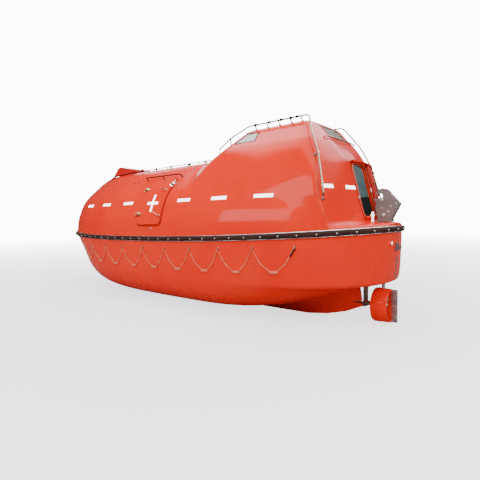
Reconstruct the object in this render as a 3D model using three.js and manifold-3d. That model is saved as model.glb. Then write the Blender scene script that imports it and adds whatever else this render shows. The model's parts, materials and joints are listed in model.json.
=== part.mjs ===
// Totally enclosed lifeboat, 8 m long, in millimetres.
// +X is the bow, +Y is port, +Z is up. The origin is amidships on the waterline.
// Heights in the tables are measured from the midship gunwale, and the whole boat is
// lifted by GUNWALE at the end, so that the waterline lies at z = 0.
import * as THREE from 'three';
import { mergeVertices } from 'three/addons/utils/BufferGeometryUtils.js';
import Module from 'manifold-3d';

const wasm = await Module();
wasm.setup();

// Driving dimensions
const GUNWALE = 650; // height of the midship gunwale above the waterline
const HALF_BEAM = 1402; // moulded half-breadth at the gunwale
const BOW_X = 3955; // moulded bow
const STERN_X = -3955; // moulded stern
const PLAN_CENTRE = -200; // where the plan outline is widest
const WALL = 40; // hull and canopy thickness: two laminates with foam between
const GAP = 0.3; // between pieces that touch
const RUN = 5; // between pieces that move
const PIN = 6; // hinge pin radius
const PIN_BORE = 6.5; // bore of the knuckle that turns on it
const RAIL = 13; // radius of the hand rails
const ROUND = 10; // facets on small round pieces
const FINE = 24; // facets where a shaft turns in its bore

const COLOURS = {
  orange: 0xe2582e,
  deepRed: 0xcf2f22,
  rubber: 0x1d1d1f,
  steel: 0xb9b4a8,
  hookGrey: 0x5c5650,
  bronze: 0xa88a5a,
  glass: 0x8fa596,
  inside: 0x6f7d72,
  seat: 0xb98a4a,
  line: 0xe8835a,
  engine: 0x4f6b5a,
  white: 0xe6e4de,
};

// Boolean solids and meshes

function toSolid(geometry) {
  const bare = geometry.index ? geometry.toNonIndexed() : geometry.clone();
  bare.deleteAttribute('normal');
  bare.deleteAttribute('uv');
  const merged = mergeVertices(bare, 1e-3);
  return new wasm.Manifold(new wasm.Mesh({
    numProp: 3,
    vertProperties: Float32Array.from(merged.attributes.position.array),
    triVerts: Uint32Array.from(merged.index.array),
  }));
}

function toGeometry(solid) {
  const mesh = solid.getMesh();
  const geometry = new THREE.BufferGeometry();
  geometry.setAttribute('position', new THREE.BufferAttribute(Float32Array.from(mesh.vertProperties), 3));
  geometry.setIndex(new THREE.BufferAttribute(Uint32Array.from(mesh.triVerts), 1));
  geometry.computeVertexNormals();
  return geometry;
}

const vec = (x, y, z) => new THREE.Vector3(x, y, z);
const EAST = vec(1, 0, 0);
const NORTH = vec(0, 1, 0);
const UP = vec(0, 0, 1);

function join(...solids) {
  return solids.reduce((whole, solid) => whole.add(solid));
}

// A box between two corners
function block(low, high) {
  const size = high.map((value, i) => value - low[i]);
  const geometry = new THREE.BoxGeometry(...size);
  geometry.translate(...low.map((value, i) => value + size[i] / 2));
  return toSolid(geometry);
}

// A round bar from one point to another
function bar(from, to, radius, facets = ROUND) {
  const along = to.clone().sub(from);
  const geometry = new THREE.CylinderGeometry(radius, radius, along.length(), facets);
  const turn = new THREE.Quaternion().setFromUnitVectors(NORTH, along.clone().normalize());
  geometry.applyQuaternion(turn);
  geometry.translate(...from.clone().add(to).multiplyScalar(0.5).toArray());
  return toSolid(geometry);
}

// A bent round bar through points, with straight runs and rounded corners
function bentBar(points, radius, bend, facets = 8) {
  const path = new THREE.CurvePath();
  let start = points[0];
  for (let i = 1; i < points.length - 1; i += 1) {
    const corner = points[i];
    const back = points[i - 1].clone().sub(corner);
    const ahead = points[i + 1].clone().sub(corner);
    const reach = Math.min(bend, back.length() * 0.45, ahead.length() * 0.45);
    const before = corner.clone().add(back.setLength(reach));
    const after = corner.clone().add(ahead.setLength(reach));
    path.add(new THREE.LineCurve3(start, before));
    path.add(new THREE.QuadraticBezierCurve3(before, corner, after));
    start = after;
  }
  path.add(new THREE.LineCurve3(start, points[points.length - 1]));
  const stations = [path.curves[0].getPoint(0)];
  for (const curve of path.curves) {
    const steps = curve.isLineCurve3 ? 1 : 3;
    for (let k = 1; k <= steps; k += 1) stations.push(curve.getPoint(k / steps));
  }
  return sweep(stations, radius, facets);
}

// A round section carried along a list of stations
function sweep(stations, radius, facets) {
  const rings = [];
  let side = null;
  stations.forEach((point, i) => {
    const before = stations[Math.max(i - 1, 0)];
    const after = stations[Math.min(i + 1, stations.length - 1)];
    const along = after.clone().sub(before).normalize();
    if (side === null) {
      const seed = Math.abs(along.z) < 0.9 ? vec(0, 0, 1) : vec(1, 0, 0);
      side = seed.cross(along).normalize();
    }
    side = side.sub(along.clone().multiplyScalar(side.dot(along))).normalize();
    const other = along.clone().cross(side);
    const ring = [];
    for (let k = 0; k < facets; k += 1) {
      const angle = (2 * Math.PI * k) / facets;
      ring.push(point.clone()
        .addScaledVector(side, radius * Math.cos(angle))
        .addScaledVector(other, radius * Math.sin(angle)));
    }
    rings.push(ring);
  });
  return toSolid(loft(rings));
}

// A closed skin over rings with the same number of points; the two halves of a ring mirror
// each other, and so do the diagonals of their quads
function loft(rings) {
  const count = rings[0].length;
  const positions = rings.flat().flatMap((point) => point.toArray());
  const index = [];
  for (let r = 0; r + 1 < rings.length; r += 1) {
    for (let k = 0; k < count; k += 1) {
      const a = r * count + k;
      const b = r * count + ((k + 1) % count);
      if (k < Math.floor(count / 2)) index.push(a, b, a + count, b, b + count, a + count);
      else index.push(a, b, b + count, a, b + count, a + count);
    }
  }
  for (const [ring, last] of [[0, false], [rings.length - 1, true]]) {
    const centre = positions.length / 3;
    const middle = vec(0, 0, 0);
    rings[ring].forEach((point) => middle.addScaledVector(point, 1 / count));
    positions.push(...middle.toArray());
    for (let k = 0; k < count; k += 1) {
      const a = ring * count + k;
      const b = ring * count + ((k + 1) % count);
      if (last) index.push(a, b, centre);
      else index.push(b, a, centre);
    }
  }
  const geometry = new THREE.BufferGeometry();
  geometry.setAttribute('position', new THREE.Float32BufferAttribute(positions, 3));
  geometry.setIndex(index);
  return geometry;
}

// A flat outline given depth: local axes u and v lie in the outline, and w is its depth
function prism(outline, depth, origin, u, v) {
  const w = u.clone().cross(v);
  const geometry = new THREE.ExtrudeGeometry(outline, { depth, bevelEnabled: false, curveSegments: 3 });
  geometry.applyMatrix4(new THREE.Matrix4().makeBasis(u, v, w).setPosition(origin));
  return toSolid(geometry);
}

function polygon(points) {
  return new THREE.Shape(points.map(([a, b]) => new THREE.Vector2(a, b)));
}

// A rectangle with its corners rounded
function roundedRect(u0, u1, v0, v1, r) {
  const shape = new THREE.Shape();
  shape.moveTo(u0 + r, v0);
  shape.lineTo(u1 - r, v0);
  shape.absarc(u1 - r, v0 + r, r, -Math.PI / 2, 0, false);
  shape.lineTo(u1, v1 - r);
  shape.absarc(u1 - r, v1 - r, r, 0, Math.PI / 2, false);
  shape.lineTo(u0 + r, v1);
  shape.absarc(u0 + r, v1 - r, r, Math.PI / 2, Math.PI, false);
  shape.lineTo(u0, v0 + r);
  shape.absarc(u0 + r, v0 + r, r, Math.PI, 1.5 * Math.PI, false);
  return shape;
}

const mirrorY = (solid) => solid.mirror([0, 1, 0]);

// Plan outline of the boat: two half super-ellipses, fuller at the stern
const BOW_POWER = { length: 3.2, breadth: 1.8 };
const STERN_POWER = { length: 4.15, breadth: 2.17 };
const PLAN_STEPS = 11; // points on each quarter

// The sheer: how much the gunwale rises towards bow and stern
function sheer(x) {
  const bowRise = 64;
  const sternRise = 156;
  const t = x / 4000;
  return ((bowRise + sternRise) / 2) * t * t + ((bowRise - sternRise) / 2) * t;
}

// One level outline, counter-clockwise from the bow
function planRing({ z, half, fore, aft, lift }) {
  const quarter = (reach, power) => {
    const points = [];
    for (let k = 0; k <= PLAN_STEPS; k += 1) {
      const angle = (Math.PI / 2) * (k / PLAN_STEPS);
      points.push([
        PLAN_CENTRE + reach * Math.sin(angle) ** (2 / power.length),
        half * Math.max(Math.cos(angle), 0) ** (2 / power.breadth),
      ]);
    }
    return points;
  };
  const bow = quarter(fore - PLAN_CENTRE, BOW_POWER);
  const stern = quarter(aft - PLAN_CENTRE, STERN_POWER);
  bow[PLAN_STEPS][1] = 0;
  stern[PLAN_STEPS][1] = 0;
  const port = [...bow.reverse(), ...stern.slice(1)];
  const starboard = port.slice(1, -1).reverse().map(([x, y]) => [x, -y]);
  return [...port, ...starboard].map(([x, y]) => vec(x, y, z + sheer(x) * lift));
}

// Hull levels, from the keel up: height, half-breadth, bow end, stern end
const HULL_LEVELS = [
  [-1225, 90, 1500, -900],
  [-1190, 560, 2250, -1500],
  [-1130, 820, 2650, -2050],
  [-1020, 1050, 2960, -2600],
  [-870, 1215, 3190, -3080],
  [-730, 1295, 3330, -3480],
  [-680, 1312, 3375, -3850],
  [-610, 1332, 3435, -3925],
  [-300, 1380, 3660, -3945],
  [0, HALF_BEAM, BOW_X, STERN_X],
];
const HULL_DEPTH = 1225;
const HULL_INSIDE = [0, 2, 3, 4, 6, 9].map((row) => HULL_LEVELS[row]);

function hullBody(inset, top, levels = HULL_LEVELS) {
  const rings = levels.map(([z, half, fore, aft]) => planRing({
    z: z === 0 ? top : z + inset,
    half: Math.max(half - inset, 40),
    fore: fore - inset,
    aft: aft + inset,
    lift: 1 + z / HULL_DEPTH,
  }));
  return toSolid(loft(rings));
}

// Canopy levels, from the gunwale up: height, distance inside the gunwale outline
const CANOPY_LEVELS = [
  [0, 0],
  [280, 30],
  [480, 85],
  [645, 150],
  [760, 215],
  [880, 310],
  [1000, 440],
  [1120, 575],
  [1220, 700],
  [1310, 850],
  [1370, 1020],
  [1400, 1200],
  [1410, 1385],
];
const CROWN = 1410;
const CANOPY_INSIDE = [0, 1, 3, 5, 7, 9, 12].map((row) => CANOPY_LEVELS[row]);

function canopyBody(inset, bottom, levels = CANOPY_LEVELS) {
  const rings = levels.map(([z, inward]) => planRing({
    z: z === 0 ? bottom : z * (1 - inset / CROWN),
    half: Math.max(HALF_BEAM - inward - inset, 8),
    fore: BOW_X - inward - inset,
    aft: STERN_X + inward + inset,
    lift: 1 - z / CROWN,
  }));
  return toSolid(loft(rings));
}

// Aft wall: part of a leaning cylinder, so that the door can slide round it
const WALL_LEAN = Math.atan2(276, 1090);
const WALL_UP = vec(Math.sin(WALL_LEAN), 0, Math.cos(WALL_LEAN));
const WALL_OUT = vec(-Math.cos(WALL_LEAN), 0, Math.sin(WALL_LEAN));
const WALL_RADIUS = 2400;
const WALL_FACETS = 90;
const DOOR = { half: 250, low: 330, high: 1100, corner: 75 };
const DOOR_FOOT = vec(-3575, 0, DOOR.low);
const DOOR_HEIGHT = (DOOR.high - DOOR.low) / Math.cos(WALL_LEAN);

// A point near the aft wall: across to port, up the wall, out from it
function onWall(across, along, out) {
  return DOOR_FOOT.clone()
    .addScaledVector(NORTH, across)
    .addScaledVector(WALL_UP, along)
    .addScaledVector(WALL_OUT, out);
}

// The leaning cylinder, at a distance outside the wall
function wallDrum(out, low = -800, high = 2600) {
  return bar(onWall(0, low, -WALL_RADIUS), onWall(0, high, -WALL_RADIUS), WALL_RADIUS + out, WALL_FACETS);
}

// Wheelhouse levels: height, front, front corner x and y, side y, aft corner x and y, aft face x
const HOUSE_LEVELS = [
  [170, -330, -540, 1345, 1316, -3440, 1010, -3700],
  [645, -450, -700, 1235, 1232, -3420, 1030, -3600],
  [1150, -475, -1020, 985, 1040, -3165, 975, -3367],
  [1430, -1060, -1400, 870, 870, -3030, 870, -3140],
  [1756, -1740, -1745, 550, 550, -2840, 550, -2860],
];
const HOUSE_MIDDLE = -2200;
const HOUSE_FLAT = 420; // half-breadth of the flat middle of the front and aft faces
const AFT_BULGE = 37; // how far the wall has curved forward there
const BULGE_LEVELS = [1000, 1250]; // heights between which the table's wall is curved
const ROOF = 1756;
const EASE = { level: 70, corner: 110, roof: 26 }; // rounding of the wheelhouse's edges

// One step of a row towards another row, by a height
function towards(row, other, height) {
  const t = height / Math.abs(other[0] - row[0]);
  return row.map((value, i) => value + (other[i] - value) * t);
}

// The rows of a table with their inner levels rounded, and the roof's edge too
function easedRows(rows) {
  const eased = [rows[0]];
  rows.slice(1, -1).forEach((row, i) => {
    const below = towards(row, rows[i], EASE.level);
    const above = towards(row, rows[i + 2], EASE.level);
    eased.push(below, row.map((value, k) => 0.25 * below[k] + 0.5 * value + 0.25 * above[k]), above);
  });
  const last = rows[rows.length - 1];
  const under = towards(last, rows[rows.length - 2], EASE.roof);
  const inward = [0, -1, -0.6, -1, -1, 0.6, -1, 1].map((way) => way * EASE.roof);
  eased.push(under, last.map((value, k) => 0.5 * value + 0.25 * under[k] + 0.25 * (value + inward[k])));
  eased.push(last.map((value, k) => value + inward[k]));
  return eased;
}

// A corner of an outline, as a few points on a curve
function easedCorner(before, corner, after) {
  const step = (end) => {
    const length = Math.hypot(end[0] - corner[0], end[1] - corner[1]);
    const t = Math.min(EASE.corner / length, 0.4);
    return [corner[0] + (end[0] - corner[0]) * t, corner[1] + (end[1] - corner[1]) * t];
  };
  const [a, b] = [step(before), step(after)];
  const middle = [0, 1].map((i) => 0.25 * a[i] + 0.5 * corner[i] + 0.25 * b[i]);
  return [a, middle, b];
}

function houseBody(inset, rows = easedRows(HOUSE_LEVELS)) {
  const rings = rows.map(([z, front, cornerX, cornerY, sideY, aftX, aftY, aft]) => {
    const curved = z > BULGE_LEVELS[0] && z < BULGE_LEVELS[1] ? AFT_BULGE : 0;
    const level = z === HOUSE_LEVELS[0][0] ? z - inset : z - inset * (z / ROOF);
    const nose = [front - 1.1 * inset, HOUSE_FLAT];
    const fore = [cornerX - 0.5 * inset, cornerY - inset];
    const side = [HOUSE_MIDDLE, sideY - inset];
    const quarter = [aftX + 0.5 * inset, aftY - inset];
    const tail = [aft + curved + 1.1 * inset, HOUSE_FLAT];
    const port = [
      nose, ...easedCorner(nose, fore, side), side, ...easedCorner(side, quarter, tail), tail,
    ];
    const starboard = [...port].reverse().map(([x, y]) => [x, -y]);
    return [...port, [aft + 1.1 * inset, 0], ...starboard].map(([x, y]) => vec(x, y, level));
  });
  return toSolid(loft(rings)).intersect(wallDrum(-inset));
}

// What is cut away behind the wheelhouse, down to the crowned aft deck
const DECK_MIDDLE = 250;
const DECK_EDGE = 195;

function aftCut() {
  const behind = polygon([
    [-3355, 100], [-3290, 645], [-3175, 1150], [-3035, 1430], [-2850, ROOF],
    [-2850, 2500], [-5000, 2500], [-5000, 100],
  ]);
  const above = polygon([
    [0, DECK_MIDDLE], [1300, DECK_EDGE], [1300, 3000], [-1300, 3000], [-1300, DECK_EDGE],
  ]);
  const behindSolid = prism(behind, 4000, vec(0, 2000, 0), EAST, UP);
  const aboveSolid = prism(above, 4000, vec(-5500, 0, 0), NORTH, UP);
  return behindSolid.intersect(aboveSolid);
}

// The canopy with its wheelhouse, without its hollow
function canopyOuter(inset, bottom, levels = CANOPY_LEVELS, rows = easedRows(HOUSE_LEVELS)) {
  const cut = aftCut().translate([inset, 0, -inset]);
  return canopyBody(inset, bottom, levels).subtract(cut).add(houseBody(inset, rows));
}

// Side hatches: local axes run forward, up the sloping canopy side, and out of it
const SIDE_MID = { y: 1220, z: 630 };
const SIDE_TILT = Math.atan2(230, 440);
const SIDE_UP = vec(0, -Math.sin(SIDE_TILT), Math.cos(SIDE_TILT));
const SIDE_OUT = vec(0, Math.cos(SIDE_TILT), Math.sin(SIDE_TILT));
const HATCH = { aft: -450, fore: 200, low: -420, high: 500, corner: 85, lap: 28 };
const HATCH_AXIS = { x: 238, out: 46, stations: [-240, 250] };

// A point near the port side: forward, up the side, out from it
function onSide(x, along, out) {
  return vec(x, SIDE_MID.y, SIDE_MID.z).addScaledVector(SIDE_UP, along).addScaledVector(SIDE_OUT, out);
}

function sidePrism(inset, from, depth) {
  const outline = roundedRect(
    HATCH.aft + inset, HATCH.fore - inset, HATCH.low + inset, HATCH.high - inset, HATCH.corner - inset / 2,
  );
  return prism(outline, depth, onSide(0, 0, from + depth), EAST, SIDE_UP);
}

// Hinges: lugs and pin on the fixed side, a knuckle on the moving side
const HINGE = { barrel: 13, width: 44, lug: 12 };

// The pin between two lugs that stand on a plate
function hingeLugs(centre, along, foot, width = HINGE.width) {
  const half = width / 2 + 1;
  const parts = [bar(
    centre.clone().addScaledVector(along, -half - HINGE.lug),
    centre.clone().addScaledVector(along, half + HINGE.lug),
    PIN,
  )];
  for (const sign of [-1, 1]) {
    const middle = centre.clone().addScaledVector(along, sign * (half + HINGE.lug / 2));
    const end = middle.clone().add(foot);
    parts.push(slab(middle, end, along, HINGE.lug, 2 * HINGE.barrel));
  }
  return join(...parts);
}

// A plate between two points, with its thickness along one axis
function slab(from, to, across, thick, width) {
  const along = to.clone().sub(from);
  const length = along.length() + width / 2;
  along.normalize();
  const outline = polygon([
    [-width / 2, -width / 4], [-width / 4, -width / 2], [length, -width / 2],
    [length, width / 2], [-width / 4, width / 2], [-width / 2, width / 4],
  ]);
  const side = across.clone().normalize().cross(along);
  const origin = from.clone().addScaledVector(along.clone().cross(side), -thick / 2);
  return prism(outline, thick, origin, along, side);
}

// The knuckle that turns on the pin, and its arm
function hingeKnuckle(centre, along, arm, width = HINGE.width) {
  const half = width / 2 - 1;
  const from = centre.clone().addScaledVector(along, -half);
  const to = centre.clone().addScaledVector(along, half);
  const barrel = bar(from, to, HINGE.barrel);
  const plate = slab(centre, centre.clone().add(arm), along, 2 * half, 14);
  const bore = bar(
    centre.clone().addScaledVector(along, -width),
    centre.clone().addScaledVector(along, width),
    PIN_BORE,
  );
  return barrel.add(plate).subtract(bore);
}

// Windows in the flat faces of the wheelhouse
const GLASS = 8; // pane thickness
const HOUSE_SLOPES = {
  side: { run: 320, rise: 326 },
  aft: { run: 270, rise: 326 },
  front: { run: 680, rise: 326 },
};
const slopeUp = ({ run, rise }, outward) => outward.clone()
  .multiplyScalar(-run)
  .addScaledVector(UP, rise)
  .normalize();
const sideUp = slopeUp(HOUSE_SLOPES.side, NORTH);
const aftUp = slopeUp(HOUSE_SLOPES.aft, vec(-1, 0, 0));
const frontUp = slopeUp(HOUSE_SLOPES.front, EAST);

// Name, origin on the face, direction along the face and up it, outline
const WINDOWS = [
  {
    name: 'window_port', origin: vec(0, 870, 1430), along: vec(-1, 0, 0), up: sideUp,
    shape: [[1640, 130], [2040, 130], [2010, 345], [1790, 372]],
  },
  {
    name: 'window_aft', origin: vec(-3130, 0, 1430), along: vec(0, -1, 0), up: aftUp,
    shape: [[-300, 85], [300, 85], [270, 345], [-270, 345]],
  },
  {
    name: 'window_front_port', origin: vec(-1060, 0, 1430), along: NORTH, up: frontUp,
    shape: [[35, 200], [390, 200], [390, 640], [35, 640]],
  },
];

function windowCut({ origin, along, up, shape }, grow, from, depth) {
  const centre = shape.reduce(([a, b], [u, v]) => [a + u / shape.length, b + v / shape.length], [0, 0]);
  const outline = shape.map(([u, v]) => [
    u + Math.sign(u - centre[0]) * grow,
    v + Math.sign(v - centre[1]) * grow,
  ]);
  const out = along.clone().cross(up);
  return prism(polygon(outline), depth, origin.clone().addScaledVector(out, from), along, up);
}

const parts = [];
function piece(name, solid, colour, roughness = 0.4, metalness = 0) {
  const material = new THREE.MeshStandardMaterial({ color: COLOURS[colour], roughness, metalness });
  const mesh = new THREE.Mesh(toGeometry(solid), material);
  mesh.name = name;
  parts.push(mesh);
}

// Hull with its skeg
const SKEG = {
  side: [
    [-900, -1100], [-1500, -1250], [-2550, -1250], [-2900, -1205],
    [-3200, -1130], [-3450, -1020], [-3400, -690], [-2200, -900],
  ],
  plan: [
    [-880, 0], [-1500, 45], [-3000, 45], [-3460, 22],
    [-3460, -22], [-3000, -45], [-1500, -45],
  ],
};
const SHAFT_Z = -960;
const SHAFT_TUBE = 30; // bore of the tube in the skeg

function makeHull() {
  const outer = hullBody(0, -GAP / 2);
  const inner = hullBody(WALL, 60, HULL_INSIDE);
  const skeg = prism(polygon(SKEG.side), 400, vec(0, 200, 0), EAST, UP)
    .intersect(prism(polygon(SKEG.plan), 800, vec(0, 0, -1300), EAST, NORTH));
  const tubeBore = bar(vec(-3300, 0, SHAFT_Z), vec(-3600, 0, SHAFT_Z), SHAFT_TUBE);
  const stockBore = bar(vec(NOZZLE.x, 0, -720), vec(NOZZLE.x, 0, -500), NOZZLE.stock + 0.6, FINE);
  return outer.add(skeg).subtract(inner).subtract(tubeBore).subtract(stockBore);
}

// Nozzle that steers, with its stock and trailing fin
const NOZZLE = { x: -3755, half: 115, outer: 250, inner: 216, facets: 32, stock: 24 };

function makeNozzle() {
  const profile = [
    [NOZZLE.inner, -NOZZLE.half],
    [NOZZLE.outer - 12, -NOZZLE.half],
    [NOZZLE.outer, -NOZZLE.half + 25],
    [NOZZLE.outer - 8, NOZZLE.half - 20],
    [NOZZLE.outer - 16, NOZZLE.half],
    [NOZZLE.inner, NOZZLE.half],
    [NOZZLE.inner, -NOZZLE.half],
  ].map(([r, a]) => new THREE.Vector2(r, a));
  const ring = new THREE.LatheGeometry(profile, NOZZLE.facets);
  ring.rotateZ(Math.PI / 2);
  ring.translate(NOZZLE.x, 0, SHAFT_Z);
  const stock = bar(vec(NOZZLE.x, 0, SHAFT_Z + NOZZLE.inner + 8), vec(NOZZLE.x, 0, -480), NOZZLE.stock, FINE);
  const back = NOZZLE.x - NOZZLE.half;
  const fin = block([back - 85, -5, SHAFT_Z - 238], [back + 1, 5, SHAFT_Z + 238]);
  const feet = [-1, 1].map((sign) => block(
    [back - 10, -22, SHAFT_Z + sign * 228 - 10], [back + 20, 22, SHAFT_Z + sign * 228 + 10],
  ));
  return join(toSolid(ring), stock, fin, ...feet);
}

// Propeller with four blades, its hub and shaft
const PROPELLER = { x: -3755, hub: 46, tip: 205, blades: 4, shaft: 17 };

function makePropeller() {
  const profile = [
    [0, -70], [26, -62], [PROPELLER.hub, -30], [PROPELLER.hub, 50], [30, 62], [0, 62],
  ].map(([r, a]) => new THREE.Vector2(r, a));
  const turned = new THREE.LatheGeometry(profile, ROUND);
  turned.rotateZ(-Math.PI / 2);
  turned.translate(PROPELLER.x, 0, SHAFT_Z);
  const hub = toSolid(turned);
  const blade = new THREE.Shape();
  blade.moveTo(-26, 30);
  blade.lineTo(26, 30);
  blade.quadraticCurveTo(88, 110, 62, 165);
  blade.quadraticCurveTo(0, PROPELLER.tip + 30, -62, 165);
  blade.quadraticCurveTo(-88, 110, -26, 30);
  let whole = hub.add(bar(
    vec(PROPELLER.x + 20, 0, SHAFT_Z), vec(-3300, 0, SHAFT_Z), PROPELLER.shaft, FINE,
  ));
  for (let k = 0; k < PROPELLER.blades; k += 1) {
    const geometry = new THREE.ExtrudeGeometry(blade, { depth: 9, bevelEnabled: false, curveSegments: 4 });
    geometry.translate(0, 0, -4.5);
    geometry.rotateY(Math.PI / 2 - 0.5);
    geometry.rotateX((2 * Math.PI * k) / PROPELLER.blades + Math.PI / 4);
    geometry.translate(PROPELLER.x, 0, SHAFT_Z);
    whole = whole.add(toSolid(geometry));
  }
  const disc = bar(vec(PROPELLER.x - 75, 0, SHAFT_Z), vec(-3290, 0, SHAFT_Z), PROPELLER.tip, 32);
  return whole.intersect(disc);
}

// Bracket that carries the shaft behind the skeg
function makeShaftBracket() {
  const strut = prism(
    polygon([[-3458, -1030], [-3530, -1005], [-3530, -720], [-3458, -720]]), 24, vec(0, 12, 0), EAST, UP,
  );
  const boss = bar(vec(-3458, 0, SHAFT_Z), vec(-3560, 0, SHAFT_Z), 36);
  const flange = block([-3540, -45, -722], [-3450, 45, -700]);
  const bore = bar(vec(-3400, 0, SHAFT_Z), vec(-3600, 0, SHAFT_Z), PROPELLER.shaft + 0.6, FINE);
  return join(strut, boss, flange).subtract(hullBody(-GAP, 0)).subtract(bore);
}

// Forward lifting hook well, under its wedge-shaped lid
const WELL = { aft: 1730, fore: 2500, half: 190 };
const LID = {
  half: 270,
  outline: [
    [1610, 1200], [1610, 1436], [1630, 1446], [2290, 1576],
    [2350, 1574], [2410, 1548], [2640, 1345], [2640, 1150],
  ],
  inside: [
    [1650, 1100], [1650, 1420], [2290, 1546], [2380, 1538], [2600, 1335], [2600, 1050],
  ],
  sheet: 30,
};
const LID_AXIS = vec(1578, 0, 1462);
const LID_HINGES = [-170, 170];

function makeLid() {
  const whole = prism(polygon(LID.outline), 2 * LID.half, vec(0, LID.half, 0), EAST, UP);
  const inner = LID.half - LID.sheet;
  const hollow = prism(polygon(LID.inside), 2 * inner, vec(0, inner, 0), EAST, UP);
  let lid = whole.subtract(hollow).subtract(canopyBody(-RUN, 0));
  for (const y of LID_HINGES) {
    lid = lid.add(hingeKnuckle(vec(LID_AXIS.x, y, LID_AXIS.z), NORTH, vec(50, 0, -14)));
  }
  return lid;
}

function makeCanopy() {
  let shell = canopyOuter(0, GAP / 2).subtract(canopyOuter(WALL, -200, CANOPY_INSIDE, HOUSE_LEVELS));
  for (const window of WINDOWS) {
    const hole = windowCut(window, -12, -120, 240).add(windowCut(window, 0, -GLASS - GAP, 120));
    shell = shell.subtract(hole);
    if (window.name !== 'window_aft') shell = shell.subtract(mirrorY(hole));
  }
  shell = shell.add(wallDrum(RIM.proud).subtract(wallDrum(-RIM.proud)).intersect(doorPrism(RIM.width)));
  shell = shell.subtract(doorPrism(0));
  const hatchHole = sidePrism(HATCH.lap, -200, 400);
  shell = shell.subtract(hatchHole).subtract(mirrorY(hatchHole));
  for (const along of HATCH_AXIS.stations) {
    const foot = vec(26, 0, 0).addScaledVector(SIDE_OUT, -62);
    const lugs = hingeLugs(onSide(HATCH_AXIS.x, along, HATCH_AXIS.out), SIDE_UP, foot);
    shell = shell.add(lugs).add(mirrorY(lugs));
  }
  shell = shell.subtract(block([WELL.aft, -WELL.half, 1200], [WELL.fore, WELL.half, 1700]));
  for (const y of LID_HINGES) {
    shell = shell.add(hingeLugs(vec(LID_AXIS.x, y, LID_AXIS.z), NORTH, vec(-20, 0, -80)));
  }
  return shell;
}

// Fender along the joint of hull and canopy
const FENDER_SECTION = [[0, -38], [26, -38], [40, -24], [45, 0], [40, 24], [26, 38], [0, 38]];

function makeFender() {
  const outline = planRing({ z: 0, half: HALF_BEAM, fore: BOW_X, aft: STERN_X, lift: 1 });
  const count = outline.length;
  const positions = [];
  outline.forEach((point, i) => {
    const before = outline[(i - 1 + count) % count];
    const after = outline[(i + 1) % count];
    const along = after.clone().sub(before).setZ(0).normalize();
    const out = vec(along.y, -along.x, 0);
    for (const [a, b] of FENDER_SECTION) {
      positions.push(...point.clone().addScaledVector(out, a + 0.5).add(vec(0, 0, b)).toArray());
    }
  });
  const index = [];
  const m = FENDER_SECTION.length;
  for (let i = 0; i < count; i += 1) {
    for (let k = 0; k < m; k += 1) {
      const a = i * m + k;
      const b = i * m + ((k + 1) % m);
      const c = ((i + 1) % count) * m + k;
      const d = ((i + 1) % count) * m + ((k + 1) % m);
      index.push(a, c, b, b, c, d);
    }
  }
  const geometry = new THREE.BufferGeometry();
  geometry.setAttribute('position', new THREE.Float32BufferAttribute(positions, 3));
  geometry.setIndex(index);
  return toSolid(geometry).subtract(canopyBody(-GAP, -60)).subtract(hullBody(-GAP, 60));
}

// Side hatch leaf, on the port side
function makeHatch() {
  const skin = canopyBody(-RUN - 26, 0).subtract(canopyBody(-RUN, -60));
  let leaf = skin.intersect(sidePrism(0, -200, 400));
  for (const along of HATCH_AXIS.stations) {
    const arm = vec(-80, 0, 0).addScaledVector(SIDE_OUT, -22);
    leaf = leaf.add(hingeKnuckle(onSide(HATCH_AXIS.x, along, HATCH_AXIS.out), SIDE_UP, arm));
  }
  return leaf;
}

// Aft door: a curved leaf that slides to starboard in two tracks, and stands open
const RIM = { proud: 14, width: 18 };
const DOOR_TRAVEL = 530;
const LEAF = { lap: 24, near: 21, far: 49, shoe: 150 };
const TRACK = { thick: 6, lip: 63, cover: 18, from: 290, to: -820 };

// The door outline, grown on all sides, as a solid that runs through the wall
function doorPrism(grow) {
  const outline = roundedRect(
    -DOOR.half - grow, DOOR.half + grow, -grow, DOOR_HEIGHT + grow, DOOR.corner + grow * 0.8,
  );
  return prism(outline, 400, onWall(0, 0, -200), vec(0, -1, 0), WALL_UP);
}

function turnAboutDrum(solid, angle) {
  const centre = onWall(0, 0, -WALL_RADIUS);
  const turn = new THREE.Matrix4().makeTranslation(...centre.toArray())
    .multiply(new THREE.Matrix4().makeRotationAxis(WALL_UP, angle))
    .multiply(new THREE.Matrix4().makeTranslation(...centre.clone().negate().toArray()));
  return toSolid(toGeometry(solid).applyMatrix4(turn));
}

function makeDoor() {
  const { lap, near, far, shoe } = LEAF;
  let leaf = wallDrum(far).subtract(wallDrum(near)).intersect(doorPrism(lap));
  const runner = wallDrum(far - 8).subtract(wallDrum(near + 8));
  for (const side of [-shoe, shoe]) {
    const strip = roundedRect(side - 25, side + 25, -lap - RUN + GAP, DOOR_HEIGHT + lap + RUN - GAP, 2);
    leaf = leaf.add(runner.intersect(prism(strip, 400, onWall(0, 0, -200), vec(0, -1, 0), WALL_UP)));
  }
  return turnAboutDrum(leaf, DOOR_TRAVEL / WALL_RADIUS);
}

// One track: a web that stands on the wall, with a lip outside the leaf
function makeTrack(edge, sign) {
  const web = edge + sign * RUN;
  const across = (from, to) => {
    const low = Math.min(from, to);
    const high = Math.max(from, to);
    const reach = polygon([
      [-TRACK.from, low], [-TRACK.to, low], [-TRACK.to, high], [-TRACK.from, high],
    ]);
    return prism(reach, 700, onWall(0, 0, -500), vec(0, -1, 0), WALL_UP);
  };
  const outside = wallDrum(TRACK.lip);
  const flange = outside.subtract(wallDrum(GAP)).intersect(across(web, web + sign * TRACK.thick));
  const lip = outside.subtract(wallDrum(TRACK.lip - TRACK.thick))
    .intersect(across(edge - sign * TRACK.cover, web + sign * TRACK.thick));
  return flange.add(lip);
}

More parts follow.
